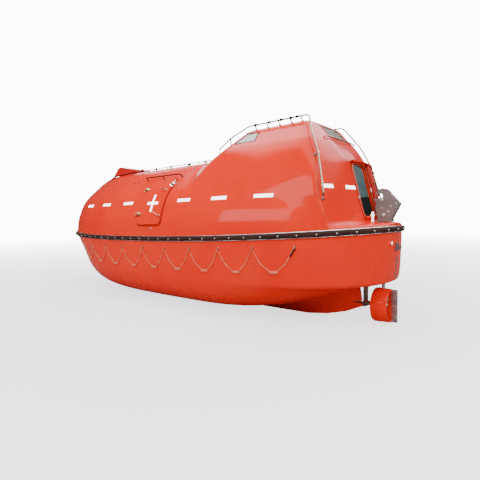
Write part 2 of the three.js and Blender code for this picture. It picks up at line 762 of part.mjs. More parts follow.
// Aft lifting hook: two cheeks on a foot, and a jaw that tips to let go
const HOOK_CHEEK = [
  [-3680, 0], [-3673, 103], [-3652, 136], [-3644, 186], [-3664, 240], [-3646, 290], [-3622, 327],
  [-3668, 314], [-3722, 320], [-3748, 340], [-3752, 366], [-3732, 388], [-3697, 394], [-3649, 387],
  [-3667, 423], [-3697, 452], [-3733, 466], [-3769, 465], [-3812, 447], [-3988, 237], [-3865, 0],
];
const HOOK_PIVOT = { x: -3860, z: 110, radius: 14 };
const HOOK_PIN = { x: -3745, z: 293, radius: 12 };
const HOOK_FOOT = 10; // from the shift's height down to the foot's underside

function makeHook(shift) {
  const across = (x, z, radius) => bar(
    vec(shift.x + x, -46, shift.z + z), vec(shift.x + x, 46, shift.z + z), radius, FINE,
  );
  const plates = [-34, 48].map((side) => prism(
    polygon(HOOK_CHEEK), 14, vec(shift.x, side, shift.z), EAST, UP,
  ));
  const foot = block([shift.x - 3880, -90, shift.z - HOOK_FOOT], [shift.x - 3660, 90, shift.z + 14]);
  const back = block([shift.x - 3702, -40, shift.z + 5], [shift.x - 3684, 40, shift.z + 110]);
  const pins = [HOOK_PIVOT, HOOK_PIN].map(({ x, z, radius }) => across(x, z, radius));
  return join(...plates, foot, ...pins, back);
}

function makeJaw(shift) {
  const shape = new THREE.Shape();
  shape.absarc(HOOK_PIVOT.x, HOOK_PIVOT.z, 40, Math.PI * 0.9, Math.PI * 2.2, false);
  shape.lineTo(-3790, 300);
  shape.absarc(-3835, 330, 62, 0, Math.PI * 0.8, false);
  shape.lineTo(-3858, 345);
  shape.absarc(-3835, 325, 30, Math.PI * 0.8, 0, true);
  const jaw = prism(shape, 50, vec(shift.x, 25, shift.z), EAST, UP);
  const centre = vec(shift.x + HOOK_PIVOT.x, 0, shift.z + HOOK_PIVOT.z);
  return jaw.subtract(bar(centre.clone().setY(-60), centre.clone().setY(60), HOOK_PIVOT.radius + 0.6, FINE));
}

const AFT_HOOK = { x: 0, z: DECK_MIDDLE + HOOK_FOOT + GAP };

// Pan of the forward hook well, and the hook that stands in it
const PAN = { floor: 1000, sheet: 6 };
const FORE_HOOK = { x: 5900, z: PAN.floor + PAN.sheet + HOOK_FOOT + GAP };

function makeWellPan() {
  const { floor, sheet } = PAN;
  const whole = block([WELL.aft + GAP, -WELL.half + GAP, floor], [WELL.fore - GAP, WELL.half - GAP, 1600]);
  const inside = block(
    [WELL.aft + sheet, -WELL.half + sheet, floor + sheet], [WELL.fore - sheet, WELL.half - sheet, 1700],
  );
  return whole.intersect(canopyBody(0, 0)).subtract(inside);
}

const railSeat = canopyOuter(-GAP, 0);

// Hand rails: the bar, then its feet
function rail(points, radius, bend, feet) {
  return join(
    bentBar(points, radius, bend),
    ...feet.map(([top, foot]) => bar(top, foot, radius * 0.8, 6)),
  );
}

function makeRoofRail() {
  const y = 585;
  const top = ROOF + 60;
  const path = [
    vec(-1190, 640, 1515), vec(-1440, 640, 1665), vec(-1790, y, top), vec(-2875, y, top),
    vec(-3075, 865, 1490), vec(-3215, 960, 1180), vec(-3345, 1075, 640), vec(-3325, 1040, 600),
  ];
  const feet = [-1900, -2130, -2350, -2560, -2740].map((x) => [vec(x, y, top), vec(x, 520, ROOF - 20)]);
  feet.push([vec(-1440, 640, 1665), vec(-1450, 640, 1540)]);
  feet.push([vec(-1190, 640, 1515), vec(-1190, 640, 1380)]);
  feet.push([vec(-3215, 960, 1180), vec(-3130, 900, 1170)]);
  return rail(path, RAIL, 60, feet).subtract(railSeat);
}

function makeForedeckRail() {
  const y = 450;
  const path = [
    vec(2740, y, 1150), vec(2680, y, 1220), vec(2250, y, 1335), vec(1600, y, 1372),
    vec(0, y, 1385), vec(-830, y, 1388), vec(-850, y, 1300),
  ];
  const feet = [[2250, 1335], [1600, 1372], [1000, 1377], [400, 1382], [-200, 1387]]
    .map(([x, top]) => [vec(x, y, top), vec(x, y, 1180)]);
  return rail(path, RAIL - 2, 40, feet).subtract(railSeat);
}

function makeHatchRail() {
  const path = [vec(500, 840, 1075), vec(500, 905, 1140), vec(-480, 905, 1140), vec(-480, 840, 1075)];
  return rail(path, RAIL - 3, 30, [[vec(10, 905, 1140), vec(10, 840, 1075)]]).subtract(railSeat);
}

function makeAftBar() {
  const path = [
    vec(-3020, 520, 1450), vec(-3110, 520, 1490), vec(-3140, 0, 1490),
    vec(-3110, -520, 1490), vec(-3020, -520, 1450),
  ];
  return rail(path, RAIL - 2, 30, []).subtract(railSeat);
}

// Grab line below the fender: it hangs in loops between eyes on the hull
const LINE = {
  first: 2475, step: -606, loops: 9, drop: 165, sag: 330, stand: 16, radius: 6, steps: 5, eye: 9,
};

function hullSide(x, z) {
  const levels = HULL_LEVELS.map(([level, half, fore, aft]) => {
    const reach = x > PLAN_CENTRE ? fore - PLAN_CENTRE : PLAN_CENTRE - aft;
    const power = x > PLAN_CENTRE ? BOW_POWER : STERN_POWER;
    const t = Math.min(Math.abs(x - PLAN_CENTRE) / reach, 1);
    const breadth = half * (1 - t ** power.length) ** (1 / power.breadth);
    return [level + sheer(x) * (1 + level / HULL_DEPTH), breadth];
  });
  const above = levels.findIndex(([level]) => level >= z);
  const [z0, y0] = levels[above - 1];
  const [z1, y1] = levels[above];
  return y0 + ((y1 - y0) * (z - z0)) / (z1 - z0);
}

function makeGrabLine() {
  const stations = [];
  const eyes = [];
  for (let k = 0; k <= LINE.loops * LINE.steps; k += 1) {
    const t = (k % LINE.steps) / LINE.steps;
    const x = LINE.first + (LINE.step * k) / LINE.steps;
    const z = sheer(x) - LINE.drop - LINE.sag * 4 * t * (1 - t);
    const station = vec(x, hullSide(x, z) + LINE.stand, z);
    stations.push(station);
    if (t === 0) {
      const seat = station.clone().add(vec(0, -2 * LINE.stand, 0));
      eyes.push(bar(station, seat, LINE.eye, 6));
    }
  }
  return join(sweep(stations, LINE.radius, 8), ...eyes).subtract(hullBody(-GAP, 0));
}

// Stern fittings: a bracket below the fender, a perforated strap, a round plug
const STRAP = {
  y: [0, 50], z: [-545, -245], thick: 6, holes: 3, first: 55, pitch: 105, bore: 10,
};
const BRACKET = { y: 60, z: -100, width: 90, height: 110, tongue: 55 };
const PLUG = { y: 270, z: -36, radius: 26, proud: 8 };

function makeStrap() {
  const { y, z, thick, holes, first, pitch, bore } = STRAP;
  let strap = hullBody(-thick, 0).intersect(block([-4100, y[0], z[0]], [-3700, y[1], z[1]]));
  for (let k = 0; k < holes; k += 1) {
    const level = z[1] - first - k * pitch;
    strap = strap.subtract(bar(vec(-4100, y[1] / 2, level), vec(-3700, y[1] / 2, level), bore, 8));
  }
  return strap.subtract(hullBody(-GAP, 0));
}

function makeBracket() {
  const { y, z, width, height, tongue } = BRACKET;
  const plate = block([-3965, y - width / 2, z - height / 2], [-3900, y + width / 2, z + height / 2]);
  const tip = -3965 - tongue;
  const side = polygon([[-3960, -42], [tip, -18], [tip, 18], [-3960, 42]]);
  const lug = prism(side, 10, vec(0, y + 5, z), EAST, UP);
  const eye = bar(vec(-3995, y - 20, z), vec(-3995, y + 20, z), 11);
  return plate.add(lug).subtract(eye).subtract(hullBody(-GAP, 0));
}

function makePlug() {
  const { y, z, radius, proud } = PLUG;
  return bar(vec(-3900, y, z), vec(-3945 - proud, y, z), radius, 16).subtract(hullBody(-GAP, 0));
}

// Cross bollard on the aft deck
const BOLLARD = { x: -3700, y: 300, top: 392, cross: 348, half: 58, post: 16, arm: 10 };

function makeBollard() {
  const { x, y, top, cross, half } = BOLLARD;
  const post = bar(vec(x, y, 200), vec(x, y, top), BOLLARD.post);
  const arm = bar(vec(x, y - half, cross), vec(x, y + half, cross), BOLLARD.arm);
  const foot = block([x - 50, y - 50, 200], [x + 50, y + 50, 252]);
  return join(post, arm, foot).subtract(canopyOuter(-GAP, 0));
}

// Catch above each side hatch: a short cylinder on two feet
function makeHatchCatch() {
  const low = vec(-480, 1062, 930);
  const high = vec(-530, 945, 1072);
  const feet = [low, high].map((end) => bar(end, end.clone().addScaledVector(SIDE_OUT, -70), 9, 6));
  return join(bar(low, high, 17), ...feet).subtract(railSeat);
}

// Inside: sole, side benches, engine under its box, helm seat
const SOLE = -770;
const BENCH = { reach: 2300, edge: 760, top: -360, board: 40, front: 30 };
const ENGINE = { x: [-2900, -2180], half: 260, z: [-690, -80] };
const BOX = { x: [-2980, -2090], half: 340, top: 40, sheet: 15 };
const SEAT = { x: -2360, half: 220, top: 700, cushion: 70, post: 55 };

function makeSole() {
  const board = block([-3000, -1400, SOLE - 30], [3000, 1400, SOLE]);
  return hullBody(WALL + GAP, 60, HULL_INSIDE).intersect(board);
}

function makeBench() {
  const { reach, edge, top, board, front } = BENCH;
  const seat = block([-reach, edge, top - board], [reach, 1500, top]);
  const riser = block([-reach, edge, SOLE + GAP], [reach, edge + front, top - 10]);
  return seat.add(riser).intersect(hullBody(WALL + GAP, 60, HULL_INSIDE));
}

function makeEngineBox() {
  const { x, half, top, sheet } = BOX;
  const inside = block(
    [x[0] + sheet, -half + sheet, SOLE - 10], [x[1] - sheet, half - sheet, top - sheet],
  );
  return block([x[0], -half, SOLE + GAP], [x[1], half, top]).subtract(inside);
}

function makeEngine() {
  const { x, half, z } = ENGINE;
  const bearers = [-1, 1].map((sign) => block(
    [x[0], sign * 200 - 30, SOLE + GAP], [x[1], sign * 200 + 30, z[0] + 10],
  ));
  return join(block([x[0], -half, z[0]], [x[1], half, z[1]]), ...bearers);
}

function makeHelmSeat() {
  const { x, half, top, cushion, post } = SEAT;
  const seat = block([x - half, -half, top - cushion], [x + half, half, top]);
  const back = block([x - half - 10, -half, top - cushion], [x - half + 60, half, top + 380]);
  const foot = block([x - 120, -120, BOX.top + GAP], [x + 120, 120, BOX.top + 12]);
  return join(seat, back, foot, bar(vec(x, 0, BOX.top + 5), vec(x, 0, top - cushion + 5), post));
}

const boat = new THREE.Group();
boat.position.z = GUNWALE;

piece('hull', makeHull(), 'orange', 0.25);
piece('canopy', makeCanopy(), 'orange', 0.25);
piece('fender', makeFender(), 'rubber', 0.6);
piece('nozzle', makeNozzle(), 'orange', 0.4);
piece('propeller', makePropeller(), 'bronze', 0.35, 0.8);
piece('shaft_bracket', makeShaftBracket(), 'steel', 0.5, 0.6);
piece('hook_lid', makeLid(), 'deepRed', 0.25);
piece('aft_door', makeDoor(), 'orange', 0.3);
piece('door_track_lower', makeTrack(-LEAF.lap, -1), 'orange', 0.3);
piece('door_track_upper', makeTrack(DOOR_HEIGHT + LEAF.lap, 1), 'orange', 0.3);
piece('hook_well', makeWellPan(), 'orange', 0.4);
piece('fore_hook', makeHook(FORE_HOOK), 'hookGrey', 0.5, 0.7);
piece('fore_hook_jaw', makeJaw(FORE_HOOK), 'steel', 0.5, 0.7);
piece('aft_hook', makeHook(AFT_HOOK), 'hookGrey', 0.5, 0.7);
piece('aft_hook_jaw', makeJaw(AFT_HOOK), 'steel', 0.5, 0.7);
piece('aft_grab_bar', makeAftBar(), 'steel', 0.35, 0.8);
piece('aft_bollard', makeBollard(), 'white', 0.4, 0.3);
piece('stern_bracket', makeBracket(), 'steel', 0.5, 0.6);
piece('stern_strap', makeStrap(), 'steel', 0.5, 0.6);
piece('stern_plug', makePlug(), 'steel', 0.5, 0.6);
piece('sole', makeSole(), 'inside', 0.7);
piece('engine', makeEngine(), 'engine', 0.6, 0.3);
piece('engine_box', makeEngineBox(), 'inside', 0.6);
piece('helm_seat', makeHelmSeat(), 'rubber', 0.7);

for (const window of WINDOWS) {
  const pane = windowCut(window, -GAP, -GLASS, GLASS);
  piece(window.name, pane, 'glass', 0.1);
  if (window.name !== 'window_aft') {
    piece(window.name.replace('port', 'starboard'), mirrorY(pane), 'glass', 0.1);
  }
}

const pairs = [
  ['side_hatch', makeHatch(), 'orange', 0.3, 0],
  ['roof_rail', makeRoofRail(), 'steel', 0.35, 0.8],
  ['foredeck_rail', makeForedeckRail(), 'steel', 0.35, 0.8],
  ['hatch_rail', makeHatchRail(), 'steel', 0.35, 0.8],
  ['hatch_catch', makeHatchCatch(), 'steel', 0.4, 0.6],
  ['grab_line', makeGrabLine(), 'line', 0.8, 0],
  ['bench', makeBench(), 'seat', 0.7, 0],
];
for (const [name, solid, colour, roughness, metalness] of pairs) {
  piece(`${name}_port`, solid, colour, roughness, metalness);
  piece(`${name}_starboard`, mirrorY(solid), colour, roughness, metalness);
}

boat.add(...parts);
const lifeboat = new THREE.Group();
lifeboat.add(boat);
export default lifeboat;
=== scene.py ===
"""Looks of a totally enclosed lifeboat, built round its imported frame. Metres, +X bow, +Y port, +Z up."""

import json
import math

import bmesh
import bpy
from bpy.props import FloatProperty, FloatVectorProperty, IntProperty, PointerProperty
from bpy.types import Operator, Panel, PropertyGroup
from mathutils import Matrix, Vector
from mathutils.bvhtree import BVHTree


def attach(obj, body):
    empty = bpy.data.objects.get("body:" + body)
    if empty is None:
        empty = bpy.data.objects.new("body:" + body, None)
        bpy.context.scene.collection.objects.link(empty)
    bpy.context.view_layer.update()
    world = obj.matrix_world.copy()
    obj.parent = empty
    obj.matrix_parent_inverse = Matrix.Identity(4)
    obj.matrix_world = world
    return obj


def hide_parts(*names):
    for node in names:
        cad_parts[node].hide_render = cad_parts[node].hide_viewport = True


bl_info = {
    "name": "Enclosed Lifeboat",
    "version": (1, 0, 0),
    "blender": (4, 5, 0),
    "location": "3D View > Sidebar > Lifeboat",
    "description": "Dresses the frame of an enclosed lifeboat with its finishes and fittings",
    "category": "Object",
}

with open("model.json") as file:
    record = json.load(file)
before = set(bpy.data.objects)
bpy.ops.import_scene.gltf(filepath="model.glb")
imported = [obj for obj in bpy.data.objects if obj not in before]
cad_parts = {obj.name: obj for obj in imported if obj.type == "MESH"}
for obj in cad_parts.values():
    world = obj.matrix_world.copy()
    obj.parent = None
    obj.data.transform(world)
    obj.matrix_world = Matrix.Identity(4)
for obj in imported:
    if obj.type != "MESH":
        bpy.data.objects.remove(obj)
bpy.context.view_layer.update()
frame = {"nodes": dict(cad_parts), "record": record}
NODES = frame["nodes"]
BODY_OF = {n: body for body, nodes in frame["record"]["behaviour"]["bodies"].items() for n in nodes}
SLOT_OF = {row["node"]: row["material_slot"] for row in frame["record"]["subparts"]}

X, Y, Z = Vector((1, 0, 0)), Vector((0, 1, 0)), Vector((0, 0, 1))
SIDES = {"port": 1, "starboard": -1}

# Main sizes, repeated from the source. Heights in the tables are from the midship gunwale
GUNWALE = 0.650
HALF_BEAM = 1.402
BOW_X, STERN_X, PLAN_CENTRE = 3.955, -3.955, -0.200
BOW_POWER, STERN_POWER = (3.2, 1.8), (4.15, 2.17)
WALL = 0.040
# Height below which the cabin's inside is painted near black: painted shade
PAINTED_SHADE_TOP = GUNWALE + 0.665
HULL_DEPTH, CROWN, ROOF = 1.225, 1.410, 1.756

# Height, half-breadth, bow end, stern end
HULL_LEVELS = [
    (-1.225, 0.090, 1.500, -0.900), (-1.190, 0.560, 2.250, -1.500), (-1.130, 0.820, 2.650, -2.050),
    (-1.020, 1.050, 2.960, -2.600), (-0.870, 1.215, 3.190, -3.080), (-0.730, 1.295, 3.330, -3.480),
    (-0.680, 1.312, 3.375, -3.850), (-0.610, 1.332, 3.435, -3.925), (-0.300, 1.380, 3.660, -3.945),
    (0.000, 1.402, 3.955, -3.955),
]
# Height, distance inside the gunwale outline
CANOPY_LEVELS = [
    (0.000, 0.000), (0.280, 0.030), (0.480, 0.085), (0.645, 0.150), (0.760, 0.215), (0.880, 0.310),
    (1.000, 0.440), (1.120, 0.575), (1.220, 0.700), (1.310, 0.850), (1.370, 1.020), (1.400, 1.200),
    (1.410, 1.385),
]
# Height, front, front corner x and y, side y, aft corner x and y, aft face x at the middle and
# at the end of its flat, reach of the curves round the front and aft corners
HOUSE_LEVELS = [
    (0.170, -0.330, -0.540, 1.345, 1.316, -3.440, 1.010, -3.700, -3.700, 0.400, 0.220),
    (0.645, -0.450, -0.700, 1.235, 1.232, -3.420, 1.030, -3.600, -3.600, 0.400, 0.220),
    (1.150, -0.475, -1.020, 0.985, 1.040, -3.165, 0.975, -3.367, -3.330, 0.330, 0.180),
    (1.430, -1.060, -1.400, 0.870, 0.870, -3.030, 0.870, -3.140, -3.140, 0.190, 0.120),
    (1.756, -1.740, -1.745, 0.550, 0.550, -2.840, 0.550, -2.860, -2.860, 0.050, 0.050),
]
HOUSE_MIDDLE, HOUSE_FLAT = -2.200, 0.420
SKEG_SIDE = [
    (-0.900, -1.100), (-1.500, -1.250), (-2.550, -1.250), (-2.900, -1.205),
    (-3.200, -1.130), (-3.450, -1.020), (-3.400, -0.690), (-2.200, -0.900),
]
SKEG_PLAN = [
    (-0.880, 0.0), (-1.500, 0.045), (-3.000, 0.045), (-3.460, 0.022),
    (-3.460, -0.022), (-3.000, -0.045), (-1.500, -0.045),
]
SHAFT = Vector((-3.755, 0, GUNWALE - 0.960))

# Aft wall: a leaning cylinder round which the door slides
WALL_LEAN = math.atan2(0.276, 1.090)
WALL_UP = Vector((math.sin(WALL_LEAN), 0, math.cos(WALL_LEAN)))
WALL_OUT = Vector((-math.cos(WALL_LEAN), 0, math.sin(WALL_LEAN)))
WALL_RADIUS = 2.400
DOOR = {"half": 0.250, "low": 0.330, "high": 1.100, "corner": 0.075}
DOOR_FOOT = Vector((-3.575, 0, GUNWALE + DOOR["low"]))
DOOR_HEIGHT = (DOOR["high"] - DOOR["low"]) / math.cos(WALL_LEAN)
DOOR_TRAVEL = 0.530
PANE_DEPTH = 0.0083

# Side hatch: local axes run forward, up the sloping side, and out of it
SIDE_TILT = math.atan2(0.230, 0.440)
SIDE_UP = Vector((0, -math.sin(SIDE_TILT), math.cos(SIDE_TILT)))
SIDE_OUT = Vector((0, math.cos(SIDE_TILT), math.sin(SIDE_TILT)))
SIDE_MID = Vector((0, 1.220, GUNWALE + 0.630))
HATCH = {"aft": -0.450, "fore": 0.200, "low": -0.420, "high": 0.500, "corner": 0.085, "lap": 0.028}
HATCH_HINGES = [-0.240, 0.250]
CATCH = {"foot": (-0.500, 0.332), "out": 0.055, "along": (-0.75, 0.66)}


def sheer(x):
    """Rise of the gunwale over its midship height."""
    t = x / 4.0
    return 0.110 * t * t - 0.046 * t


def level_outline(z, half, fore, aft, lift, steps=40):
    """Points of one level of the boat, counter-clockwise from the bow."""
    port = []
    for end, (length, breadth) in ((fore, BOW_POWER), (aft, STERN_POWER)):
        quarter = []
        for k in range(steps + 1):
            angle = math.pi / 2 * k / steps
            x = PLAN_CENTRE + (end - PLAN_CENTRE) * math.sin(angle) ** (2 / length)
            y = half * math.cos(angle) ** (2 / breadth) if k < steps else 0.0
            quarter.append(Vector((x, y, GUNWALE + z + sheer(x) * lift)))
        port = quarter[::-1] if not port else port + quarter[1:]
    return port + [mirrored(p, -1) for p in port[-2:0:-1]]


def gunwale_outline(grow, steps=160):
    """Points of the gunwale, moved outwards."""
    ring = level_outline(0, HALF_BEAM, BOW_X, STERN_X, 1, steps)
    moved = []
    for i, point in enumerate(ring):
        along = ring[(i + 1) % len(ring)] - ring[i - 1]
        out = Vector((along.y, -along.x, 0)).normalized()
        moved.append(point + out * grow)
    return moved


def refined(rows, cuts):
    """A table with rows between its rows, on a smooth curve through them."""
    fine = []
    for i in range(len(rows) - 1):
        near = [rows[min(max(i + k, 0), len(rows) - 1)] for k in (-1, 0, 1, 2)]
        for k in range(cuts):
            t = k / cuts
            fine.append(tuple(
                b + 0.5 * t * (c - a + t * (2 * a - 5 * b + 4 * c - d + t * (3 * (b - c) + d - a)))
                for a, b, c, d in zip(*near)
            ))
    return fine + [rows[-1]]


def evenly(points, count):
    """Points at even distances along a closed line, each with the line's direction."""
    lengths = [0.0]
    closed = points + [points[0]]
    for a, b in zip(closed, closed[1:]):
        lengths.append(lengths[-1] + (b - a).length)
    placed = []
    k = 0
    for i in range(count):
        wanted = lengths[-1] * (i + 0.5) / count
        while lengths[k + 1] < wanted:
            k += 1
        t = (wanted - lengths[k]) / (lengths[k + 1] - lengths[k])
        step = closed[k + 1] - closed[k]
        placed.append((closed[k] + step * t, step.normalized()))
    return placed


def on_wall(across, along, out):
    """A point near the aft wall: across to port, up the wall, out from it."""
    return DOOR_FOOT + Y * across + WALL_UP * along + WALL_OUT * out


def on_drum(across, along, out):
    """A point on the curved aft wall, with across measured round the curve."""
    angle = across / WALL_RADIUS
    turned = WALL_OUT * math.cos(angle) + Y * math.sin(angle)
    return on_wall(0, along, -WALL_RADIUS) + turned * (WALL_RADIUS + out)


def drum_axes(across):
    """Axes at a place on the curved aft wall: round it to port, up it, out of it."""
    angle = across / WALL_RADIUS
    out = WALL_OUT * math.cos(angle) + Y * math.sin(angle)
    return Y * math.cos(angle) - WALL_OUT * math.sin(angle), WALL_UP, out


def on_side(x, along, out):
    """A point near the port side of the canopy."""
    return SIDE_MID + X * x + SIDE_UP * along + SIDE_OUT * out


def mirrored(vector, side):
    return Vector((vector.x, vector.y * side, vector.z))


def basis(origin, x, y):
    """A place with the given X and Y axes."""
    return Matrix.Translation(origin) @ Matrix((x, y, x.cross(y))).transposed().to_4x4()


def axes_matrix(origin, out, up=Z):
    """A place whose Z axis points out and whose Y axis is near up."""
    z = out.normalized()
    x = up.cross(z)
    x = (X if x.length < 1e-6 else x).normalized()
    y = z.cross(x)
    return Matrix.Translation(origin) @ Matrix((x, y, z)).transposed().to_4x4()


# Node groups and materials


def colour_property(name, description, default):
    return FloatVectorProperty(
        name=name, description=description, subtype="COLOR", size=3, min=0, max=1, default=default,
    )


def length_property(name, description, default):
    return FloatProperty(name=name, description=description, unit="LENGTH", default=default)


def angle_property(name, description, degrees):
    return FloatProperty(
        name=name, description=description, subtype="ANGLE", default=math.radians(degrees),
    )


class GELCOAT_PG(PropertyGroup):
    """Colours and gloss of the moulded shell"""

    shell: colour_property("Shell", "Main colour of hull and canopy", (0.84, 0.016, 0.002))
    faded: colour_property("Faded", "Colour of the paler patches of the shell", (0.87, 0.030, 0.006))
    deep: colour_property("Deep red", "Colour of the lid over the forward hook", (0.52, 0.014, 0.010))
    inside: colour_property("Inside", "Flow coat of the cabin", (0.24, 0.33, 0.34))
    roughness: FloatProperty(
        name="Roughness", description="Roughness of clean gelcoat", min=0, max=1,
        default=0.24, subtype="FACTOR",
    )


class FITTING_PG(PropertyGroup):
    """Sizes of the repeated fittings and marks"""

    tape_length: length_property("Tape length", "Length of one reflective strip", 0.300)
    tape_width: length_property("Tape width", "Width of the reflective strips", 0.050)
    bolt_count: IntProperty(
        name="Fender bolts", description="Bolts round the fender", default=72, min=8, max=200,
    )
    bolt_radius: length_property("Fender bolt radius", "Radius of a fender bolt's head", 0.0105)
    float_length: length_property("Float length", "Length of a float on the grab line", 0.135)
    float_radius: length_property("Float radius", "Radius of a float on the grab line", 0.024)


class STAGE_PG(PropertyGroup):
    """Camera and floor"""

    eye: FloatVectorProperty(
        name="Eye", description="Place of the camera", subtype="TRANSLATION", size=3,
        default=(-5.570, 5.541, 0.992),
    )
    heading: angle_property("Heading", "Turn of the view from the bow towards starboard", 51.01)
    pitch: angle_property("Pitch", "How far the view looks down", 3.387)
    roll: angle_property("Roll", "Roll of the camera", -0.926)
    lens: FloatProperty(
        name="Lens", description="Focal length for a 36 mm sensor", default=28.36, min=10, max=200,
    )
    floor: length_property("Floor height", "Height of the floor over the waterline", -0.602)


def feed(tree, socket, value):
    """Links a socket to another one, or sets it to a plain value."""
    if isinstance(value, bpy.types.NodeSocket):
        tree.links.new(value, socket)
    else:
        socket.default_value = value


def add_node(tree, kind, inputs, **settings):
    """A node with its settings, and its inputs fed by sockets or plain values."""
    node = tree.nodes.new(kind)
    for setting, choice in settings.items():
        setattr(node, setting, choice)
    for socket, value in inputs.items():
        feed(tree, node.inputs[socket], value)
    return node


def noise(tree, vector, scale, detail, roughness=0.55):
    inputs = {"Vector": vector, "Scale": scale, "Detail": detail, "Roughness": roughness}
    return add_node(tree, "ShaderNodeTexNoise", inputs).outputs["Fac"]


def remap(tree, value, low, high, to_low=0.0, to_high=1.0):
    """A value stretched from one range to another, and held inside it."""
    inputs = {"Value": value, "From Min": low, "From Max": high, "To Min": to_low, "To Max": to_high}
    return add_node(tree, "ShaderNodeMapRange", inputs).outputs["Result"]


def mix_colour(tree, factor, a, b):
    """One colour mixed into another by a factor."""
    node = add_node(tree, "ShaderNodeMix", {"Factor": factor}, data_type="RGBA")
    for name, colour in (("A", a), ("B", b)):
        feed(tree, next(s for s in node.inputs if s.name == name and s.type == "RGBA"), colour)
    return next(s for s in node.outputs if s.type == "RGBA")


def maths(tree, operation, a, b):
    return add_node(tree, "ShaderNodeMath", {0: a, 1: b}, operation=operation).outputs["Value"]


def stretched(tree, vector, scale):
    """Coordinates stretched by a scale on each axis."""
    return add_node(tree, "ShaderNodeMapping", {"Vector": vector, "Scale": scale}).outputs["Vector"]


def coordinates(tree, kind="Object"):
    return tree.nodes.new("ShaderNodeTexCoord").outputs[kind]


def socket_kind(colour):
    return "NodeSocketColor" if colour else "NodeSocketFloat"


def new_group(name, inputs):
    """A shader node group with named inputs, its input sockets and the object's coordinates."""
    group = bpy.data.node_groups.new(name, "ShaderNodeTree")
    for socket, default in inputs.items():
        kind = socket_kind(isinstance(default, tuple))
        group.interface.new_socket(name=socket, in_out="INPUT", socket_type=kind).default_value = default
    return group, group.nodes.new("NodeGroupInput").outputs, coordinates(group)


def with_outputs(group, colour, roughness, height):
    """A node group with the outputs of every finish; the height is that of its relief."""
    results = {"Colour": colour, "Roughness": roughness, "Height": height}
    for socket in results:
        kind = socket_kind(socket == "Colour")
        group.interface.new_socket(name=socket, in_out="OUTPUT", socket_type=kind)
    add_node(group, "NodeGroupOutput", results)
    return group


def surface_group():
    """Mottled colour, uneven gloss and fine relief, for painted and moulded finishes."""
    group, given, place = new_group("surface_mottle", {
        "Colour": (0.5, 0.5, 0.5, 1), "Faded": (0.6, 0.6, 0.6, 1), "Grime": (0.1, 0.08, 0.06, 1),
        "Patch scale": 1.5, "Grain scale": 60.0, "Grime amount": 0.15, "Roughness low": 0.2,
        "Roughness high": 0.35,
    })
    patches = remap(group, noise(group, place, given["Patch scale"], 3.0), 0.35, 0.68)
    toned = mix_colour(group, patches, given["Colour"], given["Faded"])
    streaks = noise(group, stretched(group, place, (7.0, 7.0, 0.7)), 1.0, 6.0, 0.65)
    specks = noise(group, place, given["Grain scale"], 4.0, 0.7)
    dirt = maths(group, "MULTIPLY", remap(group, streaks, 0.48, 0.8), remap(group, specks, 0.3, 0.8))
    dirt = maths(group, "MULTIPLY", dirt, given["Grime amount"])
    coloured = mix_colour(group, dirt, toned, given["Grime"])
    wear = maths(group, "ADD", maths(group, "MULTIPLY", patches, 0.5), dirt)
    gloss = remap(group, wear, 0.0, 0.9, given["Roughness low"], given["Roughness high"])
    return with_outputs(group, coloured, gloss, specks)


def metal_group():
    """Brushed or cast metal: stains in the pits and a fine grain."""
    group, given, place = new_group("metal_stain", {
        "Colour": (0.6, 0.6, 0.6, 1), "Stain": (0.2, 0.15, 0.1, 1), "Stain amount": 0.4,
        "Grain scale": 120.0, "Roughness low": 0.25, "Roughness high": 0.55,
    })
    blotches = remap(group, noise(group, place, 14.0, 6.0, 0.65), 0.42, 0.72)
    grain = noise(group, place, given["Grain scale"], 5.0, 0.6)
    stain = maths(group, "MULTIPLY", blotches, given["Stain amount"])
    coloured = mix_colour(group, stain, given["Colour"], given["Stain"])
    wear = maths(group, "MULTIPLY", maths(group, "ADD", blotches, grain), 0.5)
    gloss = remap(group, wear, 0.2, 0.75, given["Roughness low"], given["Roughness high"])
    return with_outputs(group, coloured, gloss, grain)


def material(name, group, values, bump, **shader):
    """A material whose group feeds colour, roughness and relief, with plain numbers on the shader."""
    made = bpy.data.materials.new(name)
    made.use_nodes = True
    tree = made.node_tree
    values = {k: (*value, 1.0) if isinstance(value, tuple) else value for k, value in values.items()}
    finish = tree.nodes.new("ShaderNodeGroup")
    finish.node_tree = group
    for socket, value in values.items():
        feed(tree, finish.inputs[socket], value)
    strength, distance = bump
    relief = add_node(tree, "ShaderNodeBump", {
        "Strength": strength, "Distance": distance, "Height": finish.outputs["Height"],
    })
    shown = {
        "Base Color": finish.outputs["Colour"], "Roughness": finish.outputs["Roughness"],
        "Normal": relief.outputs["Normal"],
    }
    shown.update({socket.replace("_", " "): value for socket, value in shader.items()})
    for socket, value in shown.items():
        feed(tree, tree.nodes["Principled BSDF"].inputs[socket], value)
    return made


FINISH = {}


